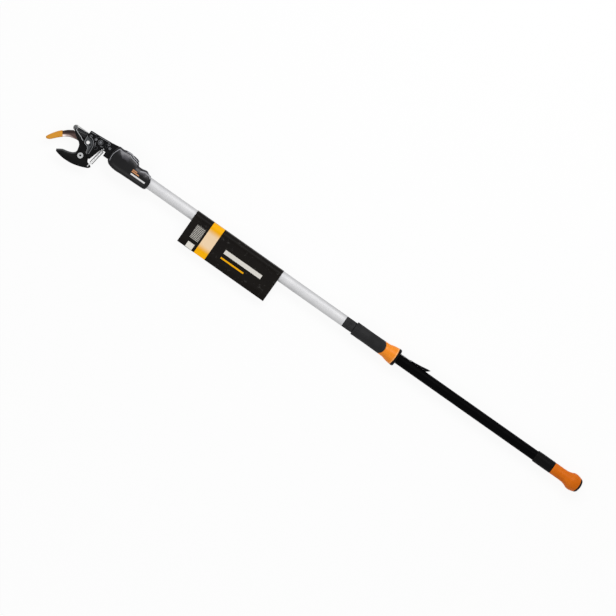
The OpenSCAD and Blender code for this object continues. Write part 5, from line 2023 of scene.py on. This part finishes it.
@dataclass(frozen=True)
class Studio:
    """Camera, lights, floor and sky of the photograph's view, in metres and watts."""

    roll: float = 35.195
    aim: tuple[float, float] = (0.5817, -0.0256)
    distance: float = 12.0
    width: float = 1.5197
    sensor: float = 36.0
    far: float = 50.0
    key: float = 33.0
    key_place: tuple[float, float, float] = (0.45, 1.5, 1.9)
    key_size: tuple[float, float] = (2.4, 1.0)
    fill: float = 11.0
    fill_place: tuple[float, float, float] = (0.5, -1.6, 2.2)
    fill_size: tuple[float, float] = (2.0, 1.2)
    sky: float = 0.42
    even: float = 0.92
    floor_half: float = 4.0
    floor_level: float = -0.0003
    floor_grey: float = 0.93
    floor_rough: float = 0.9

    def build(self) -> None:
        """Sets up the view."""
        self.camera()
        self.light("key", self.key_place, self.key_size, self.key)
        self.light("fill", self.fill_place, self.fill_size, self.fill)
        self.floor()
        self.world()
        bpy.context.scene.view_settings.view_transform = "Standard"

    def camera(self) -> None:
        """Hangs the camera straight over the pole, rolled so that the head is at the upper left."""
        data = bpy.data.cameras.new("camera")
        data.sensor_width = self.sensor
        data.lens = self.sensor * self.distance / self.width
        data.clip_end = self.far
        eye = put_in_scene("camera", data)
        eye.location = (*self.aim, AXIS_HEIGHT + self.distance)
        eye.rotation_euler = (0, 0, math.radians(self.roll))
        bpy.context.scene.camera = eye

    def light(self, name: str, place: Sequence[float], size: Sequence[float], power: float) -> None:
        """Adds a soft light that faces the pole.

        Args:
            name: Name of the light.
            place: Its place in metres.
            size: Its length along the pole and its height.
            power: Its power in watts.
        """
        data = bpy.data.lights.new(name, "AREA")
        data.shape = "RECTANGLE"
        data.size, data.size_y = size
        data.energy = power
        lamp = put_in_scene(name, data)
        lamp.location = place
        towards = Vector((self.aim[0], 0, AXIS_HEIGHT)) - Vector(place)
        lamp.rotation_euler = towards.to_track_quat("-Z", "Y").to_euler()

    def floor(self) -> None:
        """Lays a white floor just under the part, on which only a faint shadow shows."""
        sides = np.array([-self.floor_half, self.floor_half])
        along, across = np.meshgrid(sides + self.aim[0], sides + self.aim[1])
        points = np.stack([along, across, np.full((2, 2), self.floor_level)], -1)
        floor = Shell.grid(points).piece("floor")
        made = bpy.data.materials.new("floor_white")
        made.use_nodes = True
        nodes = Nodes(made.node_tree)
        shader = made.node_tree.nodes["Principled BSDF"]
        nodes.join(shader, Base_Color=(*(self.floor_grey,) * 3, 1), Roughness=self.floor_rough,
                   Specular_IOR_Level=0.0)
        glow = nodes.add("ShaderNodeEmission", Color=WHITE, Strength=1.0)
        surface = self.blended(nodes, nodes.times(self.seen(nodes), self.even), shader, glow)
        nodes.join(made.node_tree.nodes["Material Output"], Surface=surface)
        floor.data.materials.append(made)

    @staticmethod
    def blended(nodes: Nodes, share: object, first: Node, second: Node) -> Socket:
        """Mixes the shaders of two nodes.

        Args:
            nodes: Adder of the nodes.
            share: Share of the second shader.
            first: Node of the first shader.
            second: Node of the second shader.

        Returns:
            The mixed shader.
        """
        both = nodes.add("ShaderNodeMixShader", Fac=share)
        nodes.feed(both.inputs[1], first.outputs[0])
        nodes.feed(both.inputs[2], second.outputs[0])
        return both.outputs["Shader"]

    @staticmethod
    def seen(nodes: Nodes) -> Socket:
        """1 for rays that show the background: straight to the camera, in a reflection or through glass."""
        ray = nodes.add("ShaderNodeLightPath").outputs
        return nodes.most(nodes.most(ray["Is Camera Ray"], ray["Is Transmission Ray"]), ray["Is Glossy Ray"])

    def world(self) -> None:
        """Makes the sky white wherever it is seen, and an even soft light."""
        world = bpy.data.worlds.new("sky")
        bpy.context.scene.world = world
        world.use_nodes = True
        world.node_tree.nodes.clear()
        nodes = Nodes(world.node_tree)
        dim = nodes.add("ShaderNodeBackground", Color=WHITE, Strength=self.sky)
        white = nodes.add("ShaderNodeBackground", Color=WHITE, Strength=1.0)
        nodes.add("ShaderNodeOutputWorld", Surface=self.blended(nodes, self.seen(nodes), dim, white))


def main() -> None:
    """Builds and dresses the pruner pole and sets up its view."""
    logging.basicConfig(level=logging.INFO, format="%(name)s: %(message)s")
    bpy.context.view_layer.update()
    parts = (CuttingHead(HeadSizes()), NeckCasing(CasingSizes()), Pole(TubeSizes()), Slider(SliderSizes()),
             PoleEnd(EndSizes()), CardSleeve(CardSizes()))
    for part in parts:
        part.build()
    Studio().build()


if __name__ == "__main__":
    main()
